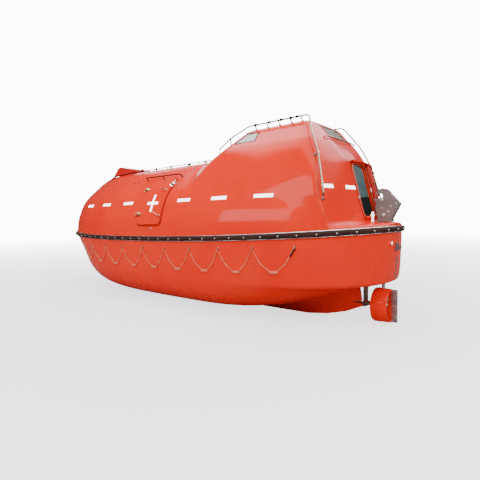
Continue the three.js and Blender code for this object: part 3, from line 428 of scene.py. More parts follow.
def make_finishes(look):
    """Every material of the boat, by the name of its finish."""
    surface, metal = surface_group(), metal_group()
    shell, faded, deep, inside = (tuple(c) for c in (look.shell, look.faded, look.deep, look.inside))
    grime = (0.10, 0.03, 0.015)
    gloss = {"Coat_Weight": 0.35, "Coat_Roughness": 0.06, "Coat_IOR": 1.35, "IOR": 1.12}
    low = look.roughness

    def moulded(name, colour, second, patch, amount=0.12, rough=(low, low + 0.14), **extra):
        values = {
            "Colour": colour, "Faded": second, "Grime": grime, "Patch scale": patch,
            "Grain scale": 55.0, "Grime amount": amount, "Roughness low": rough[0],
            "Roughness high": rough[1],
        }
        FINISH[name] = material(name, surface, values, (0.04, 0.002), **extra)

    moulded("orange_gelcoat", shell, faded, 0.9, **gloss)
    moulded("red_gelcoat", deep, tuple(min(1, c * 1.25 + 0.01) for c in deep), 2.0, **gloss)
    # Paler orange than the shell, for the doorway's lip and the stern plug: painted highlight
    moulded("rim_gelcoat", (0.86, 0.085, 0.045), (0.88, 0.11, 0.06), 3.0, 0.1, (0.3, 0.45), **gloss)
    moulded("inside_grp", inside, tuple(c * 1.35 for c in inside), 2.5, 0.3, (0.55, 0.75))
    # Near-black blue-grey on the cabin's inside below a set height: painted shade
    moulded("painted_shade", (0.035, 0.050, 0.050), (0.050, 0.065, 0.065), 2.5, 0.3, (0.6, 0.8))
    moulded("seat_grp", (0.36, 0.17, 0.06), (0.42, 0.22, 0.09), 3.0, 0.3, (0.5, 0.7))
    warm_white = (1, 0.98, 0.96, 1)
    # White paint also glows though it is no lamp: painted light
    painted_glow = {"Emission_Color": warm_white, "Emission_Strength": 2.0}
    moulded("white_paint", (0.92, 0.91, 0.89), (0.84, 0.83, 0.80), 9.0, 0.15, (0.3, 0.45), **painted_glow)
    moulded("engine_paint", (0.06, 0.13, 0.09), (0.08, 0.17, 0.12), 6.0, 0.4, (0.35, 0.55))
    matt = {"IOR": 1.25}
    # Darker red than the shell for the open door leaf: painted shade
    moulded("door_gelcoat_painted_shade", (0.46, 0.022, 0.012), (0.52, 0.030, 0.016), 2.0, 0.2, (0.42, 0.6), **matt)
    # Dark red for the line round the hatch leaves: painted shadow
    moulded("groove", (0.30, 0.006, 0.002), (0.36, 0.010, 0.004), 4.0, 0.3, (0.6, 0.8), **matt)
    moulded("fender_rubber", (0.028, 0.010, 0.008), (0.046, 0.019, 0.015), 3.5, 0.3, (0.5, 0.7), IOR=1.18)
    moulded("gasket_rubber", (0.012, 0.012, 0.012), (0.02, 0.02, 0.02), 12.0, 0.3, (0.45, 0.65), IOR=1.15)
    moulded("seat_cover", (0.02, 0.02, 0.022), (0.03, 0.03, 0.032), 10.0, 0.3, (0.45, 0.6))
    moulded("float_foam", (0.72, 0.10, 0.035), (0.80, 0.18, 0.08), 14.0, 0.4, (0.5, 0.75))
    moulded("rope", (0.62, 0.16, 0.07), (0.80, 0.36, 0.22), 18.0, 0.3, (0.6, 0.85))
    # The reflective strips and the hatch cross glow though they are no lamp: painted light
    tape_painted_glow = {"Emission_Color": warm_white, "Emission_Strength": 4.0}
    moulded("tape", (0.93, 0.93, 0.92), (0.86, 0.86, 0.85), 30.0, 0.05, (0.4, 0.55), **tape_painted_glow)

    def metallic(name, colour, stain, amount, rough, grain=140.0, bump=(0.1, 0.0005), metallic_share=1.0):
        values = {
            "Colour": colour, "Stain": stain, "Stain amount": amount, "Grain scale": grain,
            "Roughness low": rough[0], "Roughness high": rough[1],
        }
        FINISH[name] = material(name, metal, values, bump, Metallic=metallic_share)

    # The warm tints of these two steels stand for the orange shell mirrored in them: painted reflection over
    # the metal's own colour
    metallic("stainless_steel", (0.085, 0.070, 0.056), (0.05, 0.036, 0.026), 0.45, (0.36, 0.52))
    metallic("satin_steel", (0.38, 0.24, 0.18), (0.24, 0.14, 0.10), 0.4, (0.45, 0.62))
    metallic("dull_steel", (0.022, 0.016, 0.012), (0.012, 0.009, 0.007), 0.5, (0.55, 0.75))
    metallic("galvanised_steel", (0.72, 0.76, 0.76), (0.12, 0.13, 0.13), 0.85, (0.35, 0.6))
    metallic("worn_steel", (0.34, 0.27, 0.23), (0.18, 0.12, 0.10), 0.6, (0.4, 0.65))
    metallic("bright_bolt", (0.55, 0.54, 0.51), (0.34, 0.32, 0.28), 0.3, (0.25, 0.42))
    metallic("bronze", (0.52, 0.36, 0.18), (0.20, 0.13, 0.07), 0.55, (0.28, 0.5))
    cast, cast_stain = (0.17, 0.145, 0.135), (0.27, 0.23, 0.21)
    metallic("hook_paint", cast, cast_stain, 0.6, (0.42, 0.7), 90.0, (0.35, 0.002), 0.55)
    # Pale green-grey panes with faint smears
    values = {
        "Colour": (0.46, 0.47, 0.39), "Faded": (0.55, 0.56, 0.48), "Grime": (0.30, 0.26, 0.20),
        "Patch scale": 6.0, "Grain scale": 40.0, "Grime amount": 0.3, "Roughness low": 0.05,
        "Roughness high": 0.2,
    }
    glass = {"Metallic": 0.0, "Transmission_Weight": 0.75, "IOR": 1.45}
    FINISH["window_pane"] = material("window_pane", surface, values, (0.02, 0.001), **glass)


# Mesh helpers


def form(name, bm):
    """An object at the origin, made from a bmesh."""
    mesh = bpy.data.meshes.new(name)
    bm.to_mesh(mesh)
    bm.free()
    made = bpy.data.objects.new(name, mesh)
    bpy.context.scene.collection.objects.link(made)
    return made


def finished(name, bm, finish, body, angle=35, recalc=True):
    """A mesh object at the origin from a bmesh, smooth but for its sharp edges, riding on a body."""
    if recalc:
        bmesh.ops.remove_doubles(bm, verts=bm.verts, dist=1e-6)
        bmesh.ops.recalc_face_normals(bm, faces=bm.faces)
    limit = math.radians(angle)
    for face in bm.faces:
        face.smooth = True
    for edge in bm.edges:
        edge.smooth = len(edge.link_faces) == 2 and edge.calc_face_angle(0) < limit
    piece = form(name, bm)
    finishes = finish if isinstance(finish, list) else [finish]
    for each in finishes:
        piece.data.materials.append(FINISH[each])
    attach(piece, body)
    return piece


def bevelled(bm, edges, offset, segments=2):
    bmesh.ops.bevel(
        bm, geom=list(edges), offset=offset, offset_type="OFFSET", segments=segments, profile=0.5,
        affect="EDGES", clamp_overlap=True, material=-1,
    )


def rod(bm, a, b, radius, segments=16, radius_end=None):
    """A round bar or cone between two points."""
    along = b - a
    bmesh.ops.create_cone(
        bm, cap_ends=True, segments=segments, radius1=radius,
        radius2=radius if radius_end is None else radius_end, depth=along.length,
        matrix=axes_matrix((a + b) / 2, along),
    )


def lathe(bm, profile, place, steps=20):
    """A turned shape: profile rows are radius and height along the place's Z axis."""
    verts = [bm.verts.new(place @ Vector((r, 0, h))) for r, h in profile]
    edges = [bm.edges.new(pair) for pair in zip(verts, verts[1:])]
    bmesh.ops.spin(
        bm, geom=verts + edges, cent=place.translation, axis=place.col[2].to_3d(),
        angle=2 * math.pi, steps=steps, use_merge=True,
    )


def dome(bm, place, radius, height, steps=12):
    """A button head that stands on a surface."""
    profile = [(radius, -0.3 * height), (radius, 0.25 * height), (0.82 * radius, 0.7 * height)]
    profile += [(0.45 * radius, 0.95 * height), (0.0, height)]
    lathe(bm, [(0.0, -0.3 * height)] + profile, place, steps)


def hexagon(bm, place, radius, height):
    """A hexagon bolt head on its washer."""
    lathe(bm, [(0, 0), (radius * 1.55, 0), (radius * 1.5, height * 0.25), (0, height * 0.25)], place, 16)
    made = bmesh.ops.create_cone(
        bm, cap_ends=True, segments=6, radius1=radius, radius2=radius, depth=height,
        matrix=place @ Matrix.Translation((0, 0, height * 0.5)),
    )["verts"]
    bevelled(bm, {e for v in made for e in v.link_edges}, radius * 0.12, 1)


def ring(bm, points):
    """A closed ring of vertices through points, and its edges."""
    verts = bmesh.ops.create_circle(bm, segments=len(points), radius=1)["verts"]
    for vert, point in zip(verts, points):
        vert.co = point
    return verts, list({e for v in verts for e in v.link_edges})


def skinned(bm, rings, closed=False):
    """A skin over rings of points, with its ends filled unless it closes on itself."""
    edges = [ring(bm, points)[1] for points in rings]
    pairs = list(zip(edges, edges[1:])) + ([(edges[-1], edges[0])] if closed else [])
    for pair in pairs:
        bmesh.ops.bridge_loops(bm, edges=pair[0] + pair[1])
    if not closed:
        bmesh.ops.edgeloop_fill(bm, edges=edges[0] + edges[-1])
    bmesh.ops.recalc_face_normals(bm, faces=bm.faces)


def plate(bm, outline, place, thickness, edge=0.0, segments=2):
    """A flat plate: the outline lies in the place's XY plane and is given depth along its Z."""
    verts, edges = ring(bm, [place @ Vector((a, b, 0)) for a, b in outline])
    face = bmesh.ops.edgeloop_fill(bm, edges=edges)["faces"]
    made = bmesh.ops.extrude_face_region(bm, geom=face)["geom"]
    moved = [v for v in made if isinstance(v, bmesh.types.BMVert)]
    bmesh.ops.translate(bm, verts=moved, vec=place.col[2].to_3d() * thickness)
    if edge:
        near = set(verts) | set(moved)
        bevelled(bm, [e for e in bm.edges if e.verts[0] in near and e.verts[1] in near], edge, segments)


def box(bm, low, high, place=Matrix(), edge=0.0):
    """A block between two corners, with its edges rounded."""
    low, high = Vector(low), Vector(high)
    matrix = place @ Matrix.Translation((low + high) / 2) @ Matrix.Diagonal((*(high - low), 1))
    verts = bmesh.ops.create_cube(bm, size=1, matrix=matrix)["verts"]
    if edge:
        bevelled(bm, {e for v in verts for e in v.link_edges}, edge)


def rounded(u0, u1, v0, v1, radius, steps=6):
    """Outline of a rectangle with round corners."""
    centres = [(u1 - radius, v0 + radius, -90), (u1 - radius, v1 - radius, 0)]
    centres += [(u0 + radius, v1 - radius, 90), (u0 + radius, v0 + radius, 180)]
    outline = []
    for u, v, start in centres:
        for k in range(steps + 1):
            angle = math.radians(start + 90 * k / steps)
            outline.append((u + radius * math.cos(angle), v + radius * math.sin(angle)))
    return outline


def circle(place, radius, steps):
    """Points of a circle in a place's XY plane."""
    turns = [2 * math.pi * k / steps for k in range(steps)]
    return [place @ Vector((radius * math.cos(a), radius * math.sin(a), 0)) for a in turns]


def tube(bm, points, radius, segments=8, closed=True):
    """A round tube along points: one circle, carried from point to point."""
    rings = []
    count = len(points)
    side = None
    for i, point in enumerate(points):
        before = points[i - 1] if i or closed else point
        after = points[(i + 1) % count] if i + 1 < count or closed else point
        along = (after - before).normalized()
        if side is None:
            side = (Z if abs(along.z) < 0.9 else X).cross(along).normalized()
        side = (side - along * side.dot(along)).normalized()
        rings.append(circle(basis(point, side, along.cross(side)), radius, segments))
    skinned(bm, rings, closed)


# Fine forms of the shell


def settle(base, *helpers):
    """Makes a form's modifiers real and removes the helper forms that they used."""
    graph = bpy.context.evaluated_depsgraph_get()
    mesh = bpy.data.meshes.new_from_object(base.evaluated_get(graph), depsgraph=graph)
    spent = base.data
    base.modifiers.clear()
    base.data = mesh
    bpy.data.meshes.remove(spent)
    for helper in helpers:
        bpy.data.meshes.remove(helper.data)
    return base


def combine(base, other, operation):
    """One form joined with or kept inside another."""
    modifier = base.modifiers.new("combine", "BOOLEAN")
    modifier.operation, modifier.object, modifier.solver = operation, other, "MANIFOLD"
    return settle(base, other)


def cut(base, *others):
    """One form with others cut out of it."""
    for other in others:
        base = combine(base, other, "DIFFERENCE")
    return base


def soften(base, voxel, rounds):
    """A form made over as an even mesh, with its creases rounded."""
    even = base.modifiers.new("even", "REMESH")
    even.mode, even.voxel_size = "VOXEL", voxel
    smooth = base.modifiers.new("smooth", "SMOOTH")
    smooth.factor, smooth.iterations = 0.5, rounds
    return settle(base)


def blend(base, weight, rounds):
    """More rounding where a weight says so."""
    group = base.vertex_groups.new(name="blend")
    for vert in base.data.vertices:
        amount = weight(vert.co)
        if amount > 0:
            group.add([vert.index], amount, "REPLACE")
    smooth = base.modifiers.new("smooth", "SMOOTH")
    smooth.factor, smooth.iterations, smooth.vertex_group = 0.5, rounds, group.name
    return settle(base)


def flank(place):
    """Weight of the wheelhouse's sides and shoulders, clear of its windows, hatch and aft wall."""
    fades = [
        (-0.55 - place.x) / 0.2, (place.x + 3.2) / 0.15,
        (place.z - GUNWALE - 0.25) / 0.15, (GUNWALE + 1.42 - place.z) / 0.12,
    ]
    return min(1, max(0, min(fades)))


def profile_form(name, outline, place, depth):
    """An outline in the place's XY plane, given depth to both sides."""
    bm = bmesh.new()
    plate(bm, outline, place @ Matrix.Translation((0, 0, -depth / 2)), depth)
    bmesh.ops.recalc_face_normals(bm, faces=bm.faces)
    return form(name, bm)


SIDE_VIEW = basis(Vector((0, 0, GUNWALE)), X, Z)
PLAN_VIEW = basis(Vector((0, 0, GUNWALE)), X, Y)
END_VIEW = basis(Vector((0, 0, GUNWALE)), Y, Z)


def joint_form(up):
    """Everything above or below the joint of hull and canopy."""
    line = [(x, sheer(x)) for x in (-4.8 + 0.1 * k for k in range(97))]
    far = 3.0 if up else -3.0
    return profile_form("joint", line + [(4.8, far), (-4.8, far)], SIDE_VIEW, 4.0)


def hull_form(inset, top):
    """The hull up to a height above its gunwale, without its skeg."""
    rings = []
    for z, half, fore, aft in refined(HULL_LEVELS, 3) + [(top - inset, *HULL_LEVELS[-1][1:])]:
        rings.append(level_outline(
            z + inset, max(half - inset, 0.04), fore - inset, aft + inset, min(1 + z / HULL_DEPTH, 1),
        ))
    bm = bmesh.new()
    skinned(bm, rings)
    return form("hull", bm)


def canopy_form(inset, bottom, cuts):
    """The canopy with its wheelhouse, without its hollow."""
    rings = []
    for z, inward in [(bottom, 0)] + refined(CANOPY_LEVELS, cuts):
        rings.append(level_outline(
            z * (1 - inset / CROWN), max(HALF_BEAM - inward - inset, 0.008),
            BOW_X - inward - inset, STERN_X + inward + inset, min(1 - z / CROWN, 1),
        ))
    bm = bmesh.new()
    skinned(bm, rings)
    canopy = form("canopy", bm)
    behind = profile_form("behind", [
        (-3.355, 0.100), (-3.290, 0.645), (-3.175, 1.150), (-3.035, 1.430), (-2.850, ROOF),
        (-2.850, 2.500), (-5.000, 2.500), (-5.000, 0.100),
    ], SIDE_VIEW @ Matrix.Translation((inset, -inset, 0)), 4.0)
    above = profile_form("above", [
        (0, 0.250), (1.300, 0.195), (1.300, 3.000), (-1.300, 3.000), (-1.300, 0.195),
    ], END_VIEW @ Matrix.Translation((0, -inset, -3.5)), 4.0)
    canopy = cut(canopy, combine(behind, above, "INTERSECT"))
    return combine(canopy, house_form(inset, cuts), "UNION")


def house_form(inset, cuts):
    """The wheelhouse: its levels, kept inside the leaning cylinder of the aft wall."""
    rings = []
    rows = refined(HOUSE_LEVELS, cuts)
    for row in rows[:3 * cuts + 1] + rows[-1:]:
        z, front, corner_x, corner_y, side_y, aft_x, aft_y, aft, tail, fore_reach, aft_reach = row
        level = z - inset if row == HOUSE_LEVELS[0] else z - inset * z / ROOF
        nose = (front - 1.1 * inset, HOUSE_FLAT)
        side = (HOUSE_MIDDLE, side_y - inset)
        end = (tail + 1.1 * inset, HOUSE_FLAT)
        port = [nose, *curve(nose, (corner_x - 0.5 * inset, corner_y - inset), side, fore_reach), side]
        port += [*curve(side, (aft_x + 0.5 * inset, aft_y - inset), end, aft_reach), end]
        outline = port + [(aft + 1.1 * inset, 0)] + [(x, -y) for x, y in port[::-1]]
        rings.append([Vector((x, y, GUNWALE + level)) for x, y in outline])
    bm = bmesh.new()
    skinned(bm, rings)
    house = form("house", bm)
    bm = bmesh.new()
    rod(bm, on_wall(0, -0.8, -WALL_RADIUS), on_wall(0, 2.6, -WALL_RADIUS), WALL_RADIUS - inset, 240)
    return combine(house, form("drum", bm), "INTERSECT")


def curve(before, corner, after, reach, steps=6):
    """A corner of an outline, as points on a curve."""
    before, corner, after = (Vector(point) for point in (before, corner, after))
    a, b = (corner + (end - corner) * min(reach / (end - corner).length, 0.45) for end in (before, after))
    return [
        a * (1 - t) ** 2 + corner * 2 * t * (1 - t) + b * t ** 2
        for t in (k / steps for k in range(steps + 1))
    ]


def door_outline(grow=0.0):
    half, corner = DOOR["half"] + grow, DOOR["corner"] + 0.8 * grow
    return rounded(-half, half, -grow, DOOR_HEIGHT + grow, corner, 8)


def hatch_outline(grow, corner, steps=6):
    return rounded(
        HATCH["aft"] - grow, HATCH["fore"] + grow, HATCH["low"] - grow, HATCH["high"] + grow, corner, steps,
    )


def slope(outward, run):
    """Direction up a face that leans in by a run on the rise of a wheelhouse panel."""
    return (outward * -run + Z * 0.326).normalized()


# Window places and outlines
PORT_PLACE = basis(Vector((0, 0.870, GUNWALE + 1.430)), -X, slope(Y, 0.320))
AFT_PLACE = basis(Vector((-3.130, 0, GUNWALE + 1.430)), -Y, slope(-X, 0.270))
FRONT_PLACE = basis(Vector((-1.060, 0, GUNWALE + 1.430)), Y, slope(X, 0.680))
MIRROR = Matrix.Diagonal((1, -1, 1, 1))
WINDOWS = {
    "window_port": (PORT_PLACE, [(1.640, 0.130), (2.040, 0.130), (2.010, 0.345), (1.790, 0.372)]),
    "window_aft": (AFT_PLACE, [(-0.300, 0.085), (0.300, 0.085), (0.270, 0.345), (-0.270, 0.345)]),
    "window_front_port": (FRONT_PLACE, [(0.035, 0.200), (0.390, 0.200), (0.390, 0.640), (0.035, 0.640)]),
}
WINDOWS["window_starboard"] = (MIRROR @ PORT_PLACE, WINDOWS["window_port"][1])
WINDOWS["window_front_starboard"] = (MIRROR @ FRONT_PLACE, WINDOWS["window_front_port"][1])


def window_outline(shape, grow):
    """A window's outline with its sides moved outwards."""
    u0, v0 = (sum(point[i] for point in shape) / len(shape) for i in (0, 1))
    return [(u + math.copysign(grow, u - u0), v + math.copysign(grow, v - v0)) for u, v in shape]


DRESSED = {}


def stands_for(piece, node):
    """Lets a piece take the place of a CAD node."""
    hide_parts(node)
    DRESSED[node] = piece


def dress(node, finish=None, angle=32, edge=0.0, segments=2, second=None, chosen=None):
    """A merged copy of a CAD node that stands for it; chosen says which faces get a second finish."""
    bm = bmesh.new()
    bm.from_mesh(NODES[node].data)
    bmesh.ops.remove_doubles(bm, verts=bm.verts, dist=2e-5)
    bmesh.ops.dissolve_limit(
        bm, angle_limit=math.radians(0.4), verts=bm.verts, edges=bm.edges, delimit=set(),
    )
    bm.normal_update()
    finishes = [finish or SLOT_OF[node]]
    if second:
        finishes.append(second)
        for face in bm.faces:
            face.material_index = int(chosen(face.calc_center_median()))
    piece = finished(f"{node}_form", bm, finishes, BODY_OF[node], angle, recalc=False)
    if edge:
        bevel = piece.modifiers.new("round_edges", "BEVEL")
        bevel.width, bevel.segments, bevel.limit_method = edge, segments, "ANGLE"
        bevel.angle_limit, bevel.harden_normals = math.radians(angle), True
    else:
        normals = piece.modifiers.new("even_shading", "WEIGHTED_NORMAL")
        normals.keep_sharp = True
    stands_for(piece, node)


def skin(node, shell, hollow, painted_shade=None):
    """A skin that stands for a node. Its hollow has the inside finish, and a near-black one below a given
    height: painted shade.
    """
    bm = bmesh.new()
    bm.from_mesh(hollow.data)
    bmesh.ops.triangulate(bm, faces=bm.faces)
    bm.to_mesh(hollow.data)
    tree = BVHTree.FromBMesh(bm)
    bm.free()
    shell = cut(shell, hollow)
    bm = bmesh.new()
    bm.from_mesh(shell.data)
    bpy.data.meshes.remove(shell.data)
    inner = [f for f in bm.faces if tree.find_nearest(f.calc_center_median(), 0.002)[0] is not None]
    for face in inner:
        face.material_index = 1
    # Faces of the hollow below the height get the near-black finish: painted shade
    if painted_shade is not None:
        around = {e for f in inner for e in f.edges} | {v for f in inner for v in f.verts}
        bmesh.ops.bisect_plane(
            bm, geom=inner + list(around), dist=1e-5, plane_co=(0, 0, painted_shade), plane_no=Z,
        )
        for face in bm.faces:
            if face.material_index == 1 and face.calc_center_median().z < painted_shade:
                face.material_index = 2
    finishes = [SLOT_OF[node], "inside_grp", "painted_shade"]
    stands_for(finished(f"{node}_skin", bm, finishes, BODY_OF[node], angle=40), node)


def tree_of(node):
    """A search tree over a dressed piece, for laying marks and fittings on it."""
    bm = bmesh.new()
    bm.from_mesh(DRESSED[node].data)
    tree = BVHTree.FromBMesh(bm)
    bm.free()
    return tree


def touch(tree, start, direction):
    """Where a line first meets the surface, and the surface's outward direction."""
    place, normal, _, _ = tree.ray_cast(start, direction)
    if place is None:
        raise RuntimeError(f"nothing lies along {direction} from {start}")
    return place, normal if normal.dot(direction) < 0 else -normal


def patch(bm, tree, start, across, up, look, width, height, lift=0.0012, steps=(10, 3)):
    """A thin strip laid on a surface: a grid, moved along the look direction until it lies there."""
    made = bmesh.ops.create_grid(bm, x_segments=steps[0], y_segments=steps[1], size=0.5)["verts"]
    for vert in made:
        u, v = vert.co.x * width, vert.co.y * height
        place, normal = touch(tree, start + across * u + up * v, look)
        vert.co = place + normal * lift
    faces = list({f for v in made for f in v.link_faces})
    bmesh.ops.recalc_face_normals(bm, faces=faces)
    bmesh.ops.solidify(bm, geom=faces, thickness=lift * 0.8)


class STAGE_OT_build(Operator):
    """Make the camera, the pale floor, the soft lights and the finishes"""

    bl_idname = "lifeboat.stage"
    bl_label = "Stage and finishes"
    # The floor's radius, where its glow begins and ends to grow, its glow at both, and its tone
    # for soft light and in reflections
    FLOOR_RADIUS, FADE, GLOW, TONE = 60.0, (3.0, 30.0), (1.8, 12.0), (0.62, 0.16)
    # The world's light from a low to a high direction, its share in reflections, and the white ground
    LIGHT, IN_MIRRORS, GROUND = (0.1, 0.9, 0.25, 0.6), (1.0, 0.35), 12.0
    # A bright upper sky, seen in reflections alone: where it begins and is full, its strength, and
    # how far it reaches lower down to starboard and astern
    SKY, TO_STARBOARD, ASTERN = (0.56, 0.68, 0.0, 7.0), 0.14, 0.15
    # Name, place, target, width, height, power, and whether finishes mirror it
    SOFTBOXES = [
        ("overhead", (-0.5, 1.0, 7.5), (0, 0, 0.5), 8.0, 4.0, 380.0, False),
        ("port_quarter", (-9.0, 3.6, 5.0), (-2.0, 0, 1.2), 6.5, 4.0, 430.0, True),
        ("port_side", (1.0, 9.5, 5.0), (0.5, 0, 0.9), 8.0, 3.0, 640.0, True),
        ("starboard_bow", (8.0, -7.5, 6.5), (0, 0, 1.2), 8.0, 3.5, 300.0, True),
        ("starboard_low", (9.5, -11.5, 2.6), (0, 0, 2.0), 9.0, 3.0, 260.0, False),
        ("starboard_side", (-3.0, -9.5, 5.0), (-0.5, 0, 0.9), 6.0, 3.0, 420.0, False),
        ("cabin", (-2.3, 0, 2.20), (-2.4, 0, 0), 0.6, 0.3, 20.0, False),
    ]

    def execute(self, context):
        stage = context.scene.lifeboat_stage
        camera = bpy.data.objects.new("camera", bpy.data.cameras.new("camera"))
        context.scene.collection.objects.link(camera)
        context.scene.camera = camera
        camera.data.lens, camera.data.sensor_width = stage.lens, 36.0
        camera.data.clip_end = 200.0
        th, pitch, roll = stage.heading, stage.pitch, stage.roll
        ahead = Vector((math.cos(th) * math.cos(pitch), -math.sin(th) * math.cos(pitch), -math.sin(pitch)))
        right = ahead.cross(Z).normalized()
        up = right.cross(ahead)
        right, up = (
            right * math.cos(roll) + up * math.sin(roll),
            up * math.cos(roll) - right * math.sin(roll),
        )
        turn = Matrix((right, up, -ahead)).transposed().to_4x4()
        camera.matrix_world = Matrix.Translation(stage.eye) @ turn
        make_finishes(context.scene.lifeboat_gelcoat)
        self.floor(context, stage)
        self.light(context)
        return {"FINISHED"}

    def floor(self, context, stage):
        bm = bmesh.new()
        bmesh.ops.create_circle(
            bm, cap_ends=True, segments=96, radius=self.FLOOR_RADIUS,
            matrix=Matrix.Translation((0, 0, stage.floor)),
        )
        pale = bpy.data.materials.new("studio_floor")
        pale.use_nodes = True
        tree = pale.node_tree
        away = add_node(tree, "ShaderNodeVectorMath", {0: coordinates(tree)}, operation="LENGTH")
        fade = maths(tree, "POWER", remap(tree, away.outputs["Value"], *self.FADE), 1.5)
        path = tree.nodes.new("ShaderNodeLightPath").outputs
        glow = maths(tree, "MULTIPLY", remap(tree, fade, 0.0, 1.0, *self.GLOW), path["Is Camera Ray"])
        looks = {
            "Base Color": remap(tree, path["Is Glossy Ray"], 0.0, 1.0, *self.TONE), "Roughness": 0.95,
            "Emission Color": (1, 1, 1, 1), "Emission Strength": glow,
        }
        for socket, value in looks.items():
            feed(tree, tree.nodes["Principled BSDF"].inputs[socket], value)
        floor = form("floor", bm)
        floor.data.materials.append(pale)

    def light(self, context):
        world = bpy.data.worlds.new("studio")
        context.scene.world = world
        world.use_nodes = True
        tree = world.node_tree
        split = add_node(tree, "ShaderNodeSeparateXYZ", {"Vector": coordinates(tree, "Generated")}).outputs
        path = tree.nodes.new("ShaderNodeLightPath").outputs
        share = remap(tree, path["Is Glossy Ray"], 0.0, 1.0, *self.IN_MIRRORS)
        glow = maths(tree, "MULTIPLY", remap(tree, split["Z"], *self.LIGHT), share)
        height = maths(tree, "SUBTRACT", split["Z"], maths(tree, "MULTIPLY", split["Y"], self.TO_STARBOARD))
        height = maths(tree, "SUBTRACT", height, maths(tree, "MULTIPLY", split["X"], self.ASTERN))
        sky = maths(tree, "MULTIPLY", remap(tree, height, *self.SKY), path["Is Glossy Ray"])
        glow = maths(tree, "ADD", glow, sky)
        glow = maths(tree, "ADD", glow, maths(tree, "MULTIPLY", path["Is Camera Ray"], self.GROUND))
        for socket, value in (("Strength", glow), ("Color", (1.0, 1.0, 1.0, 1))):
            feed(tree, tree.nodes["Background"].inputs[socket], value)
        for name, place, target, width, height, power, glossy in self.SOFTBOXES:
            data = bpy.data.lights.new(name, "AREA")
            data.shape, data.size, data.size_y, data.energy = "RECTANGLE", width, height, power
            lamp = bpy.data.objects.new(name, data)
            context.scene.collection.objects.link(lamp)
            place = Vector(place)
            lamp.location = place
            lamp.rotation_mode = "QUATERNION"
            lamp.rotation_quaternion = (Vector(target) - place).to_track_quat("-Z", "Y")
            lamp.visible_camera, lamp.visible_glossy = False, glossy


class SHELL_OT_build(Operator):
    """Make the smooth skins of hull and canopy, and dress the lid and the well"""

    bl_idname = "lifeboat.shell"
    bl_label = "Hull and canopy"
    # Grid of the even mesh and rounds of smoothing
    CANOPY_EVEN, HULL_EVEN, FLANK_ROUNDS = (0.024, 12), (0.028, 5), 60
    # Radii of the bores for the stern tube and the nozzle's stock, and depth of a cut through a side
    TUBE, STOCK, THROUGH = 0.030, 0.0246, 0.4
    # Depth of the cut that seats a pane, and width of the ledge behind it
    SEAT, LEDGE = 0.120, 0.012
    # Opposite corners of the cut for the hook well, above the gunwale
    WELL = (Vector((1.730, -0.190, 1.200)), Vector((2.500, 0.190, 1.700)))

    def execute(self, context):
        self.hull()
        self.canopy()
        self.lugs()
        dress("hook_lid", "red_gelcoat", angle=30, edge=0.012, segments=3)
        dress("hook_well", angle=30)
        return {"FINISHED"}

    def hull(self):
        shell = combine(hull_form(0, 0.300), self.skeg(), "UNION")
        shell = combine(soften(shell, *self.HULL_EVEN), self.skeg(), "UNION")
        bm = bmesh.new()
        rod(bm, SHAFT + X * 0.455, SHAFT + X * 0.155, self.TUBE, 32)
        rod(bm, SHAFT + Z * 0.220, SHAFT + Z * 0.440, self.STOCK, 32)
        skin("hull", cut(shell, joint_form(True), form("bores", bm)), hull_form(WALL, 0.060))

    def skeg(self):
        side = profile_form("skeg_side", SKEG_SIDE, SIDE_VIEW, 0.4)
        plan = profile_form("skeg_plan", SKEG_PLAN, PLAN_VIEW @ Matrix.Translation((0, 0, -0.9)), 0.8)
        return combine(side, plan, "INTERSECT")

    def canopy(self):
        shell = soften(canopy_form(0, -0.300, 4), *self.CANOPY_EVEN)
        shell = cut(blend(shell, flank, self.FLANK_ROUNDS), joint_form(False))
        doorway = basis(DOOR_FOOT, Y, WALL_UP)
        shell = cut(shell, profile_form("doorway", door_outline(), doorway, self.THROUGH))
        lap = HATCH["lap"]
        for turned in (Matrix(), MIRROR):
            place = turned @ basis(SIDE_MID, X, SIDE_UP)
            outline = hatch_outline(-lap, HATCH["corner"] - lap / 2)
            shell = cut(shell, profile_form("hatchway", outline, place, self.THROUGH))
        for place, shape in WINDOWS.values():
            seat = place @ Matrix.Translation((0, 0, self.SEAT / 2 - PANE_DEPTH))
            shell = cut(
                shell, profile_form("window", shape, seat, self.SEAT),
                profile_form("window", window_outline(shape, -self.LEDGE), place, 2 * self.SEAT),
            )
        bm = bmesh.new()
        box(bm, *(corner + Z * GUNWALE for corner in self.WELL))
        skin("canopy", cut(shell, form("well", bm)), canopy_form(WALL, -0.200, 1), painted_shade=PAINTED_SHADE_TOP)

    def lugs(self):
        """Lugs of the side hatches' and the lid's hinges, with their pins."""
        bm = bmesh.new()
        for sign in SIDES.values():
            foot = X * 0.026 - mirrored(SIDE_OUT, sign) * 0.062
            for along in HATCH_HINGES:
                self.pair(bm, mirrored(on_side(0.238, along, 0.046), sign), mirrored(SIDE_UP, sign), foot)
        finished("hatch_hinge_lugs", bm, "bronze", "boat")
        bm = bmesh.new()
        for y in (-0.170, 0.170):
            self.pair(bm, Vector((1.578, y, GUNWALE + 1.462)), Y, Vector((-0.020, 0, -0.080)))
        finished("lid_hinge_lugs", bm, "orange_gelcoat", "boat")

    def pair(self, bm, centre, along, foot):
        """Two lugs that run from a pin towards their foot."""
        across = foot.normalized()
        reach = foot.length + 0.013
        for offset in (-0.035, 0.023):
            place = basis(centre + along * offset, across, along.cross(across))
            plate(bm, rounded(-0.013, reach, -0.013, 0.013, 0.0125, 5), place, 0.012, 0.001, 1)
        rod(bm, centre - along * 0.037, centre + along * 0.037, 0.006)


class INSIDE_OT_build(Operator):
    """Dress the sole, benches, engine box, engine and helm seat"""

    bl_idname = "lifeboat.inside"
    bl_label = "Cabin"

    def execute(self, context):
        for node in ("sole", "bench_port", "bench_starboard"):
            dress(node)
        for node, edge in (("engine_box", 0.012), ("engine", 0.02), ("helm_seat", 0.02)):
            dress(node, edge=edge)
        for name in NODES:
            if name.startswith("window_"):
                dress(name)
        return {"FINISHED"}


